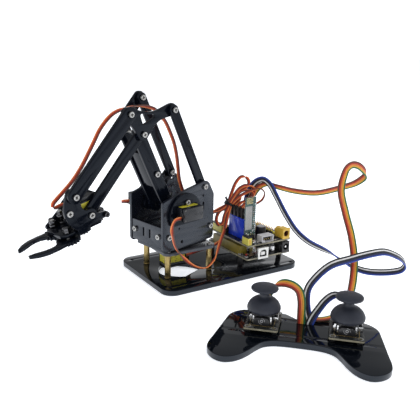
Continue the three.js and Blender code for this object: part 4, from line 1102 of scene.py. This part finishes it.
def make_servos():
    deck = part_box("servo_deck")
    spin = Matrix.Rotation(math.pi, 4, "Z")
    down = Matrix.Translation((YAW_AT.x, YAW_AT.y, deck[1].z - 0.0005)) @ spin @ MM
    make_servo("servo_base", "base_servo", "base", down, 1.3, 3.0, -2.8)
    near = TURRET @ facing("+y", SHOULDER[0], -14.4, SHOULDER[1])
    make_servo("servo_near", "shoulder_servo", "turret", near, 3.2, 5.6, -4.0)
    far = TURRET @ facing("-y", SHOULDER[0], 21.4, SHOULDER[1])
    make_servo("servo_far", "elbow_servo", "turret", far, -0.3, 2.6, -6.2)
    grip = CLAW @ facing("-z", GEAR_AT.x, GEAR_AT.y, -8.3)
    make_servo("servo_claw", "claw_servo", "claw", grip, 3.2, 6.8, -4.0)


make_turret_plates()
make_arm_plates()
make_level_plate()
make_base_plates()
make_handset_plate()
make_bolts()
make_posts()
make_servos()


# ================= control board and shield =================
# Lengths in millimetres from the board's corner beside the turret.
BOARD = OBJECT @ Matrix.Translation((16.2, -40.2, 0))
BW, BL = 53.4, 68.6
MAIN_Z, SHIELD_Z, PCB_T = 14.4, 27.8, 1.6


def circuit_board(p, outline, holes, z, t=PCB_T):
    """A board with a pale cut edge between two black faces, and a printed ring round each hole."""
    p.plate(outline, holes, z + 0.03, z + t - 0.03, "board_edge", bevel=0.05)
    for low in (z, z + t - 0.12):
        p.plate(outline, holes, low, low + 0.12, "board", bevel=0.04)
    for h in holes:
        if len(h) >= 16:
            cx, cy = sum(q[0] for q in h) / len(h), sum(q[1] for q in h) / len(h)
            r = math.dist(h[0], (cx, cy))
            p.plate(circle(cx, cy, r + 0.9, 28), [circle(cx, cy, r, 28)], z + t, z + t + 0.06, "solder",
                bevel=0.01)


def pins(p, x, y, nx, ny, z0, z1, mat="gold", pitch=2.54, half=0.32):
    for i in range(nx):
        for j in range(ny):
            u, v = x + i * pitch, y + j * pitch
            p.box(u - half, u + half, v - half, v + half, z0, z1, mat, 0.1)


def sockets(p, x0, x1, y0, y1, z0, z1, mat="plastic"):
    """A header strip along y; each pin's opening is a dark patch of painted shade, and thin dark slits of
    painted shade mark the gaps between its cells.
    """
    p.box(x0, x1, y0, y1, z0, z1, mat, 0.25)
    n = int((y1 - y0) / 2.54)
    for i in range(n):
        y = y0 + (y1 - y0) * (i + 0.5) / n
        for x in ((x0 + x1) / 2,) if x1 - x0 < 4 else (x0 + (x1 - x0) * 0.27, x0 + (x1 - x0) * 0.73):
            p.box(x - 0.5, x + 0.5, y - 0.5, y + 0.5, z1 - 0.3, z1 + 0.02, "recess_shade", 0)
        p.box(x0 - 0.03, x0 + 0.1, y + 1.1, y + 1.25, z0 + 0.5, z1 - 0.5, "recess_shade", 0)


def plugs(p, x0, x1, y0, y1, z0, z1, ways, axis="x"):
    """A row of single crimp housings, each with its locking window drawn as a dark patch of painted shade.
    """
    for i in range(ways):
        if axis == "x":
            a, b = x0 + (x1 - x0) * i / ways, x0 + (x1 - x0) * (i + 1) / ways
            p.box(a + 0.04, b - 0.04, y0, y1, z0, z1, "plastic", 0.2)
            for y in (y0, y1):
                p.box((a + b) / 2 - 0.45, (a + b) / 2 + 0.45, y - 0.03, y + 0.03, z0 + 4, z0 + 6.2,
                    "recess_shade", 0)
        else:
            a, b = y0 + (y1 - y0) * i / ways, y0 + (y1 - y0) * (i + 1) / ways
            p.box(x0, x1, a + 0.04, b - 0.04, z0, z1, "plastic", 0.2)


def scatter(p, x0, x1, y0, y1, z, count):
    """Small surface parts: chip resistors, capacitors and tiny packages with tinned ends."""
    for _ in range(count):
        x, y = random.uniform(x0, x1), random.uniform(y0, y1)
        a, b, h = random.choice(((1.0, 0.55, 0.5), (1.3, 0.8, 0.7), (0.6, 1.1, 0.5), (1.6, 1.2, 0.9)))
        p.box(x - a, x + a, y - b, y + b, z, z + h, random.choice(("ceramic", "plastic", "plastic", "tag")),
            0.08)
        p.box(x - a - 0.2, x - a + 0.25, y - b, y + b, z, z + h * 0.9, "tin", 0.05)
        p.box(x + a - 0.25, x + a + 0.2, y - b, y + b, z, z + h * 0.9, "tin", 0.05)


def make_main_board():
    p = Piece("main_board", "base", BOARD, "board_black", ["control_board"])
    outline = [
        (1, 0), (BW - 1.2, 0), (BW, 1.2), (BW, 64), (BW - 2.4, 66.4), (BW - 2.4, BL), (1, BL), (0, BL - 1),
    ]
    legs = [(3, 15), (BW - 3, 14), (3, BL - 3), (BW - 12, BL - 3)]
    circuit_board(p, outline + [(0, 1)], [circle(x, y, 1.6, 20) for x, y in legs], MAIN_Z)
    top = MAIN_Z + PCB_T
    for x, y in legs:
        p.rod("z", x, y, 5.3, MAIN_Z, 2.8, "plastic", 6, 0.3)
        screw_head(p, facing("+z", x, y, top), r=2.4, height=1.5)
    sockets(p, 1, 9.6, 14, 61, top, 24.8, "olive")
    sockets(p, BW - 5, BW - 2.4, 27, 64, top, 24.8)
    p.box(BW - 12, BW - 3, 1.4, 11.6, top, 26.8, "plastic", 0.4)
    jack = [(BW - 12, top), (BW - 3, top), (BW - 3, 26.8), (BW - 12, 26.8)]
    p.plate(jack, [circle(BW - 7.5, 21.8, 3.2, 28)], -1.8, 1.6, "plastic", "y", bevel=0.3)
    p.rod("y", BW - 7.5, 21.8, -1.4, 2, 1.0, "tin", 16)
    p.box(18, 25, 30, 60, top + 0.6, 19, "plastic", 0.3)
    for i in range(11):
        y = 31.6 + i * 2.6
        for x in (17.6, 25.1):
            p.box(x, x + 0.3, y - 0.5, y + 0.5, top, 18, "tin", 0.05)
    shell = [(9.4, top), (21.4, top), (21.4, 26.8), (9.4, 26.8)]
    mouth = [(11.3, 18), (19.5, 18), (19.5, 22.8), (17.6, 24.9), (13.2, 24.9), (11.3, 22.8)]
    p.plate(shell, [mouth], -5.2, -4.2, "white", "y", bevel=0.3)
    p.plate(shell, [mouth], -4.3, -0.5, "tin", "y", bevel=0.1)
    p.box(9.5, 21.3, -0.6, 9.8, top, 26.7, "tin", 0.3)
    # The near-black block behind the USB mouth is painted shade inside the port.
    p.box(11, 19.8, -1.2, -0.5, 17.6, 25.2, "port_shade", 0)
    p.box(13.2, 17.6, -4.6, -0.6, 19.6, 22.6, "white", 0.3)
    for x in (28.6, 36.2):
        p.rod("z", x, 7.6, top, 22, 3.1, "tin", 28, 0.3)
        p.rod("z", x, 7.6, 21.9, 22.1, 2.5, "plastic", 24, 0)
    p.plate(hull([(13, 17, 2.1), (19, 17, 2.1)], 24), [], top, 19.4, "tin", bevel=0.4)
    scatter(p, 1.6, 8.4, 2, 11, top, 16)
    scatter(p, 26, 44, 14, 30, top, 22)
    p.box(2.2, 5.6, 5, 8.6, top, top + 1.8, "plastic", 0.2)
    p.rod("z", 3.9, 6.8, top + 1.7, top + 2.6, 0.9, "red_led", 16)
    pins(p, 2, 20, 1, 14, MAIN_Z - 1.2, MAIN_Z, "solder", half=0.5)
    p.done()


def make_shield():
    p = Piece("shield_board", "base", BOARD, "board_black", ["sensor_shield"])
    top = SHIELD_Z + PCB_T
    outline = rounded(0.4, BW - 0.4, 0, 66, 1.4, 5)
    circuit_board(p, outline, [circle(BW - 3, 15, 1.6, 20), circle(3, 14, 1.6, 20)], SHIELD_Z)
    for y0, y1 in ((0.6, 10.6), (46, 64)):
        p.box(0.8, 5.2, y0, y1, top, 36.4, "lemon", 0.3)
        p.box(1, 5, y0 + 0.2, y1 - 0.2, 36.3, 37.6, "plastic", 0.25)
        p.box(1.6, 4.4, y0 - 0.05, y0 + 0.1, top + 1.2, 35.4, "yellow", 0)
    wall = [(17.6, top), (31.6, top), (31.6, 36), (17.6, 36)]
    inside = [(18.7, 31.4), (21, 31.4), (21, 30), (30.6, 30), (30.6, 35.1), (18.7, 35.1)]
    p.plate(wall, [inside], 0.6, 6.4, "pale", "y", bevel=0.25)
    p.box(17.7, 31.5, 6.2, 9.4, top, 35.9, "pale", 0.3)
    # The black block inside the pale socket's opening is painted shade.
    p.box(18.6, 30.7, 4.6, 6.3, 29.9, 35.2, "plastic", 0)
    for i in range(4):
        p.rod("y", 21.2 + i * 2.5, 32.4, 1.8, 5.4, 0.34, "gold", 10, 0.05)
    p.box(14.6, 22, 17.6, 21, top, 33.8, "pale", 0.3)
    p.rod("z", 31.4, 21, top, 38.9, 5, "plastic", 40, 0.7)
    p.rod("z", 31.4, 21, 38.8, 39.4, 4.1, "print", 36, 0.2)
    p.box(28, 40, 27, 50, top, 31.9, "plastic", 0.25)
    pins(p, 30, 29, 4, 8, 31.9, 34.4)
    for i, mat in enumerate(("plastic", "lemon", "blue")):
        p.box(42.1 + i * 2.6, 44.6 + i * 2.6, 18, 50, top, 31.9, mat, 0.2)
    pins(p, 43.3, 20, 3, 12, 31.9, 34.8)
    for y in (31, 35):
        plugs(p, 16.4, 29.6, y, y + 2.6, top, 43.4, 5)
    scatter(p, 6.6, 16.4, 1.6, 9.8, top, 26)
    scatter(p, 32.6, 40, 2, 13, top, 14)
    scatter(p, 8, 26, 44, 62, top, 24)
    p.box(33, 38.4, 5, 10.4, top, 31.2, "plastic", 0.2)
    p.box(8.4, 12, 3, 6.2, top, 31.4, "tin", 0.2)
    p.rod("z", 10.2, 4.6, 31.3, 32, 1.0, "ceramic", 16)
    sockets(p, 6.8, 9.4, 44, 62, top, 35.6)
    for y in range(20, 58, 3):
        p.rod("z", 2.5, y, SHIELD_Z - 1, SHIELD_Z, 0.7, "solder", 10, 0.2)
    p.done()


def make_barrel_jack():
    p = Piece("barrel_jack", "base", BOARD, "part_yellow", ["power_socket"])
    x0, x1, z0, z1 = BW - 11.8, BW - 2.8, 29.7, 40.6
    mid = BW - 7.3
    face = rounded(x0, x1, z0, z1, 0.9, 5)
    p.plate(face, [circle(mid, 35.2, 3, 36)], -1.4, 0.4, "yellow", "y", bevel=0.4)
    body = rounded(x0 + 0.5, x1 - 0.5, z0, z1 - 0.6, 0.8, 4)
    p.plate(body, [circle(mid, 35.2, 3, 36)], 0.3, 8.6, "yellow", "y", bevel=0.2)
    p.rod("y", mid, 35.4, 8.5, 12.6, 4.3, "yellow", 36, 0.6)
    p.box(x0 + 0.8, x1 - 0.8, 8.5, 12.4, z0, 34, "yellow", 0.4)
    # The bore's brown floor and wall are painted shade inside the yellow socket.
    p.rod("y", mid, 35.2, 7.6, 8.4, 3.05, "bore_shade", 28, 0)
    p.plate(circle(mid, 35.2, 3.02, 36), [circle(mid, 35.2, 2.6, 36)], -0.4, 8, "bore_shade", "y", bevel=0.05)
    p.rod("y", mid, 35.2, 2.4, 8, 0.9, "brass", 18)
    for z in (31.4, 39.2):
        p.rod("x", 5, z, x0 + 0.35, x0 + 0.6, 0.8, "yellow", 16, 0.1)
    p.done()


def make_servo_header():
    x0, x1, y0, y1 = 6.4, 13.4, 16.8, 42
    p = Piece("servo_block", "base", BOARD, "part_blue", ["servo_header"])
    p.box(x0 + 0.25, x1 - 0.25, y0 + 0.25, y1 - 0.25, 29.7, 49.6, "blue", 0.5)
    p.plate(rounded(x0, x1, y0, y1, 0.6, 4), [], 48.4, 50.4, "blue", bevel=0.5)
    p.box(x0 + 1, x1 - 1, y0 + 1, y1 - 1, 50.3, 50.75, "plastic", 0.1)
    for y in (y0 + 6.6, y0 + 12.6, y0 + 18.6):
        p.box(x0 + 0.1, x0 + 0.4, y - 0.35, y + 0.35, 30, 48, "blue", 0.12)
    p.box(x0 + 0.05, x1 - 0.05, y0 + 0.05, y1 - 0.05, 29.7, 31, "blue", 0.3)
    p.done()
    q = Piece("servo_plugs", "base", BOARD, "board_black")
    for y in (20.2, 26.2, 32.2, 38.2):
        plugs(q, 6.1, 13.7, y - 1.3, y + 1.3, 50.9, 59.4, 3)
        q.box(6.3, 13.5, y - 1.1, y + 1.1, 59.2, 60.3, "plastic", 0.3)
    q.done()


def make_radio():
    p = Piece("radio_module", "base", BOARD, "part_green", ["wireless_module"])
    x0, x1, y = 5, 17.2, 12.5
    p.box(x0, x1, y, y + 0.9, 35, 73, "teal", 0.15)
    p.box(x0 + 0.1, x0 + 8, y - 0.16, y + 0.02, 41, 64.4, "tag", 0.05)
    for i in range(5):
        z = 67 + i * 1.25
        p.box(x0 + 1, x1 - 3.6, y - 0.1, y + 0.02, z, z + 0.5, "gold", 0.03)
        side = x0 + 1 if i % 2 else x1 - 4.1
        p.box(side, side + 0.5, y - 0.1, y + 0.02, z, z + 1.6, "gold", 0.03)
    for i in range(13):
        z = 38 + i * 2.0
        p.box(x1 - 2.9, x1 - 2.1, y - 0.4, y, z, z + 1.0, random.choice(("tin", "ceramic", "tag")), 0.05)
        p.box(x1 - 1, x1 - 0.3, y - 0.08, y, z, z + 0.8, "tin", 0.02)
    for u, z in ((1.2, 37), (4, 38), (6.6, 37.4), (3, 35.6), (8.4, 39.4), (10.4, 65.8)):
        p.box(x0 + u, x0 + u + 1.4, y - 0.6, y, z, z + 0.9, random.choice(("pale", "tin", "plastic")), 0.08)
    p.box(6, 16, 11, 15, 29.5, 35.2, "plastic", 0.3)
    for i in range(4):
        p.box(x0 + 1.6 + i * 2.54, x0 + 2.3 + i * 2.54, y - 0.5, y + 0.2, 35, 36.6, "gold", 0.1)
    p.done()
    s = Piece("radio_sleeve", "base", BOARD)
    a0, a1, b0, b1 = 4.7, 17.5, 12.0, 14.1
    inside = rounded(a0 + 0.12, a1 - 0.12, b0 + 0.12, b1 - 0.12, 0.7, 5)
    s.plate(rounded(a0, a1, b0, b1, 0.8, 5), [inside], 36.8, 73.6, "sleeve", bevel=0.05)
    s.done()


def make_tie():
    """The band that gathers the leads."""
    p = Piece("lead_tie", "base", OBJECT, "board_black")
    lean = Matrix.Translation((20.9, 0, 60.6)) @ Matrix.Rotation(math.radians(32), 4, "Y")
    outer, inner = ([(x * a, y * b) for x, y in circle(0, 0, 1)] for a, b in ((3.6, 5.9), (3.0, 5.3)))
    p.plate(outer, [inner], -1.3, 1.3, "plastic", bevel=0.15, matrix=lean)
    p.box(-5.2, -3.0, -2, 1.6, -1.8, 1.8, "plastic", 0.4, matrix=lean)
    p.box(-9.4, -4.8, -0.9, -0.2, -1.1, 1.1, "plastic", 0.2, matrix=lean @ Matrix.Rotation(0.5, 4, "Y"))
    p.done()


# ================= the handset's sticks =================
CAP_PROFILE = [
    (0, 26.2), (4, 26.2), (8, 25.2), (10.8, 23), (11.9, 20), (12, 18.6), (12.5, 18.3), (12.95, 18.6),
    (13.15, 20), (12.9, 21.4), (12.3, 22.7), (11.4, 24.3), (10.2, 25.6), (8.8, 26.8), (7.2, 27.7),
    (5.8, 28.2), (4.8, 28.8), (4.1, 29.6), (3.9, 30.6), (3.9, 31.9), (4.4, 32.9), (5.6, 33.6), (7.8, 34.1),
    (9.6, 34.5), (10.3, 34.9), (10.6, 35.5), (10.55, 36.1), (10.1, 36.7), (9.2, 37.2), (8.2, 37.6),
    (6.4, 37.95), (4, 38.15), (2, 38.2), (0, 38.2),
]


def make_stick(side):
    at = HANDSET @ Matrix.Translation((STICK_U if side == "right" else -STICK_U, 0, 0))
    p = Piece("stick_board_" + side, "base", at, "stick_case", ["stick_module_" + side])
    corners = [(u, w) for u in (-10, 10) for w in (-13.5, 13.5)]
    circuit_board(p, rounded(-13, 13, -17, 17, 1.2, 5), [circle(u, w, 1.6, 20) for u, w in corners], 7.6)
    for u, w in corners:
        p.rod("z", u, w, 5.2, 7.6, 2.4, "plastic", 6, 0.25)
    for u in (-10, 10):
        screw_head(p, facing("+z", u, 13.5, 9.2), r=2.3, height=1.4)
    p.plate(rounded(-9.4, 9.4, -12, 9.4, 0.6, 4), [rounded(-9.1, 9.1, -11.7, 9.1, 0.6, 4)], 9.2, 9.34,
        "gold", bevel=0.03)
    p.plate(rounded(-8.3, 8.3, -8.3, 8.3, 2.6, 5), [rounded(-6.9, 6.9, -6.9, 6.9, 1.6, 4)], 9.2, 17.6,
        "case", bevel=0.35)
    p.box(-7.2, 7.2, -7.2, 7.2, 9.3, 10.3, "case", 0)
    for sensor in (FLAT, Matrix.Rotation(-math.pi / 2, 4, "Z")):
        pot = [(-6.2, 9.3), (6.2, 9.3), (6.2, 13.4), (4.2, 15.6), (-4.2, 15.6), (-6.2, 13.4)]
        p.plate(pot, [], -11.4, -8.2, "case", "y", bevel=0.4, matrix=sensor)
        p.plate(circle(0, 13, 1.2, 28), [circle(0, 13, 0.62, 20)], -11.5, -11.36, "print", "y", bevel=0.02,
            matrix=sensor)
        for start in (20, 200):
            outer, inner = (arc(0, 13, r, start - 35, start + 75, 12) for r in (2.5, 2.2))
            band = outer + inner[::-1]
            p.plate(band, [], -11.46, -11.36, "print", "y", bevel=0.02, matrix=sensor)
        for u in (-7.4, 6.1):
            p.box(u, u + 1.3, -9.6, -8.2, 10.2, 16.2, "tin", 0.12, matrix=sensor)
            p.box(u + 0.2, u + 1.1, -10.3, -9.4, 11.6, 14.8, "tin", 0.12, matrix=sensor)
    p.box(8.2, 11.8, -3.2, 3.2, 9.2, 13.6, "tin", 0.3)
    p.box(8.6, 11.4, -2.8, 2.8, 13.5, 13.8, "case", 0.1)
    p.rod("z", 10, 0, 13.6, 14.4, 1.2, "case", 18)
    for u in (-9.6, 8.6):
        p.box(u, u + 1, 9.8, 11.4, 9.2, 9.9, "ceramic", 0.1)
    plugs(p, -6.6, 6.6, 14.6, 17, 10.4, 18, 5)
    p.box(-6.6, 6.6, 14.7, 16.9, 9.2, 10.4, "plastic", 0.15)
    pins(p, -5.08, 15.8, 5, 1, 7, 9.2, "solder", half=0.45)
    p.done()
    yoke = Piece("stick_arch_" + side, "stick_yoke_" + side, at, "stick_case", ["stick_yoke_" + side])
    yoke.plate(rounded(-6.2, 6.2, -2.2, 2.2, 1, 4), [rounded(-4.2, 4.2, -1.1, 1.1, 0.4, 3)], 13.9, 15.9,
        "case", bevel=0.3)
    for u in (-6.1, 6.1):
        yoke.rod("x", 0, 14.9, u - 0.5, u + 0.5, 1.1, "case", 16, 0.1)
    yoke.done()
    stem = Piece("stick_rod_" + side, "stick_stem_" + side, at, "stick_case", ["stick_stem_" + side])
    stem.rod("z", 0, 0, 12.6, 32, 1.5, "case", 24, 0.2)
    stem.rod("y", 0, 14.8, -2.6, 2.6, 1.0, "case", 16, 0.1)
    stem.rod("z", 0, 0, 16.6, 18.2, 2.2, "case", 24, 0.4)
    stem.done()
    cap = Piece("stick_top_" + side, "stick_cap_" + side, at, "stick_rubber", ["stick_cap_" + side])
    cap.lathe(CAP_PROFILE, "rubber", n=72)
    cap.done(smooth=60)


# ================= claw =================
DECK_Z, JAW_Z = -11.8, -16.5
PIVOTS = {"near": (-20.6, -10), "far": (-20.6, 10)}
CLAW_NEAR = [
    (15.4, -7), (16.4, -5.8), (16.2, -3.4), (14.6, -2.2), (8.6, -1.4), (5.9, -0.2), (5.45, 1.3),
    (4.6, 3.2), (3.2, 4.6), (1.3, 5.45), (-0.9, 5.5), (-2.6, 5.4), (-4.6, 6.2), (-6, 8), (-6.7, 10.4),
    (-6.9, 13.6), (-6.4, 17), (-5.8, 20.2), (-6.2, 22.8), (-7.7, 25.2), (-10.2, 26.8), (-13.2, 26.9),
    (-15.8, 25.6), (-17.5, 23.3), (-18.4, 20.6), (-20.2, 17), (-22, 12.5), (-22.3, 7.5), (-21.4, 2.6),
    (-19.4, -1.4), (-16.6, -5.6), (-14.6, -7.2), (-14, -12), (-3, -12), (-2.4, -7.2),
]


def toothed(x, y, r, teeth, phase=0.0):
    """A wheel's outline with rounded teeth; r is the radius over the teeth."""
    pts = []
    for i in range(teeth):
        for f, d in ((0, -1.5), (0.12, -0.8), (0.22, -0.15), (0.3, 0), (0.42, 0), (0.5, -0.15), (0.6, -0.8),
                (0.72, -1.5)):
            t = (i + f) / teeth * 2 * math.pi + phase
            pts.append((x + (r + d) * math.cos(t), y + (r + d) * math.sin(t)))
    return pts


def chrome_post(p, x, y, z0, z1, top=True):
    """A dark plated bolt end with its nuts; the brighter steel disc on its top is a painted highlight."""
    p.rod("z", x, y, z0, z1, 1.45, "chrome", 20)
    for low in (z0, z0 + (z1 - z0) * 0.52):
        nut(p, facing("+z", x, y, low), 2.9, 2.4, 0.2, "chrome")
    if top:
        p.rod("z", x, y, z1 - 1.4, z1, 2.3, "chrome", 24, 0.3)
        # Painted highlight: a bright steel disc on the post's top.
        p.rod("z", x, y, z1 - 0.1, z1 + 0.25, 1.7, "steel", 24, 0.12)


def make_claw():
    front = CLAW.inverted() @ (TURRET @ Vector((FRONT_LOW[0], 0, FRONT_LOW[1])))
    holes = [circle(0, 0, HOLE), circle(front.x, front.z, HOLE)]
    sheet_xz("claw_cheek_near", "claw", CLAW_NEAR[::-1], holes, Y_LEVEL, "claw_side_near", at=CLAW)
    cheek = hull([(0, 0, 5.6), (-22, -9.6, 2.4), (6, -9.6, 2.4)])
    sheet_xz("claw_cheek_far", "claw", cheek, [circle(0, 0, HOLE)], Y_CLAW_FAR, "claw_side_far", at=CLAW)
    deck = Piece("claw_shelf", "claw", CLAW, "acrylic_black", ["claw_deck"])
    outline = [(10, -13.8), (10, 13.8), (-22, 13.8), (-27, 10), (-27, -10), (-22, -13.8)]
    holes = [circle(GEAR_AT.x, GEAR_AT.y, 6.2)] + [circle(*q, HOLE) for q in PIVOTS.values()]
    deck.plate(outline, holes, DECK_Z, DECK_Z + THICK, "sheet")
    deck.done()
    for side, sign in (("near", -1), ("far", 1)):
        x, y = PIVOTS[side]
        f = Piece("claw_jaw_" + side, "claw_finger_" + side, CLAW, "acrylic_black", ["claw_finger_" + side])
        f.plate(toothed(x, y, 9.8, 18, 0.17), [circle(x, y, HOLE)], JAW_Z, JAW_Z + THICK, "sheet",
            bevel=0.2)
        curve = [
            (-21, 16.9), (-25, 16.6), (-33, 17.4), (-42, 17), (-46, 15.6), (-50, 13.6), (-55, 9.4),
            (-55, 7.4), (-50, 8.2), (-46, 9.8), (-42, 11.4), (-38, 12), (-34, 11.8), (-30, 9.4), (-27, 7),
            (-18, 6),
        ]
        f.plate([(u, sign * v) for u, v in curve], [], JAW_Z + 0.05, JAW_Z + THICK - 0.05, "sheet",
            bevel=0.35)
        f.done()
        b = Piece("jaw_bolt_" + side, "claw", CLAW, "screw_steel")
        b.rod("z", x, y, JAW_Z - 3.4, DECK_Z + THICK, 1.45, "steel", 18)
        nut(b, facing("-z", x, y, JAW_Z - 0.3), 2.9, 2.2, 0.8)
        chrome_post(b, x, y, DECK_Z + THICK, DECK_Z + THICK + (6.2 if side == "far" else 4.4))
        chrome_post(b, x + 8.1, sign * 9.6, DECK_Z + THICK, 2.6)
        b.done()
    g = Piece("claw_pinion", "claw_gear", CLAW, "acrylic_black", ["claw_gear"])
    x, y = GEAR_AT.x, GEAR_AT.y
    g.plate(toothed(x, y, 6.8, 13), [circle(x, y, 1.2)], JAW_Z, JAW_Z + THICK, "sheet", bevel=0.2)
    screw_head(g, facing("-z", x, y, JAW_Z), r=2.4)
    g.done()
    q = Piece("claw_fixings", "claw", CLAW, "screw_steel")
    for x in (GEAR_AT.x + SERVO_L - SERVO_SHAFT + 2.6, GEAR_AT.x - SERVO_SHAFT - 2.6):
        q.rod("z", x, GEAR_AT.y, -13.4, -2.6, 1.3, "chrome", 18)
        nut(q, facing("-z", x, GEAR_AT.y, -12), 2.5, 2.0, 0.5, "chrome")
        screw_head(q, facing("+z", x, GEAR_AT.y, -4.2), mat="chrome", r=2.4)
    screw_head(q, facing("-y", 13.4, Y_LEVEL, -4.6), mat="chrome", r=2.4, height=2.6)
    screw_head(q, facing("-y", -18.4, Y_LEVEL, 8.7), r=2.6)
    screw_head(q, facing("+y", -17.4, Y_CLAW_FAR + THICK, -6.4), r=2.6)
    q.done()


make_main_board()
make_shield()
make_barrel_jack()
make_servo_header()
make_radio()
make_tie()
make_stick("left")
make_stick("right")
make_claw()


make_stage()
make_light()
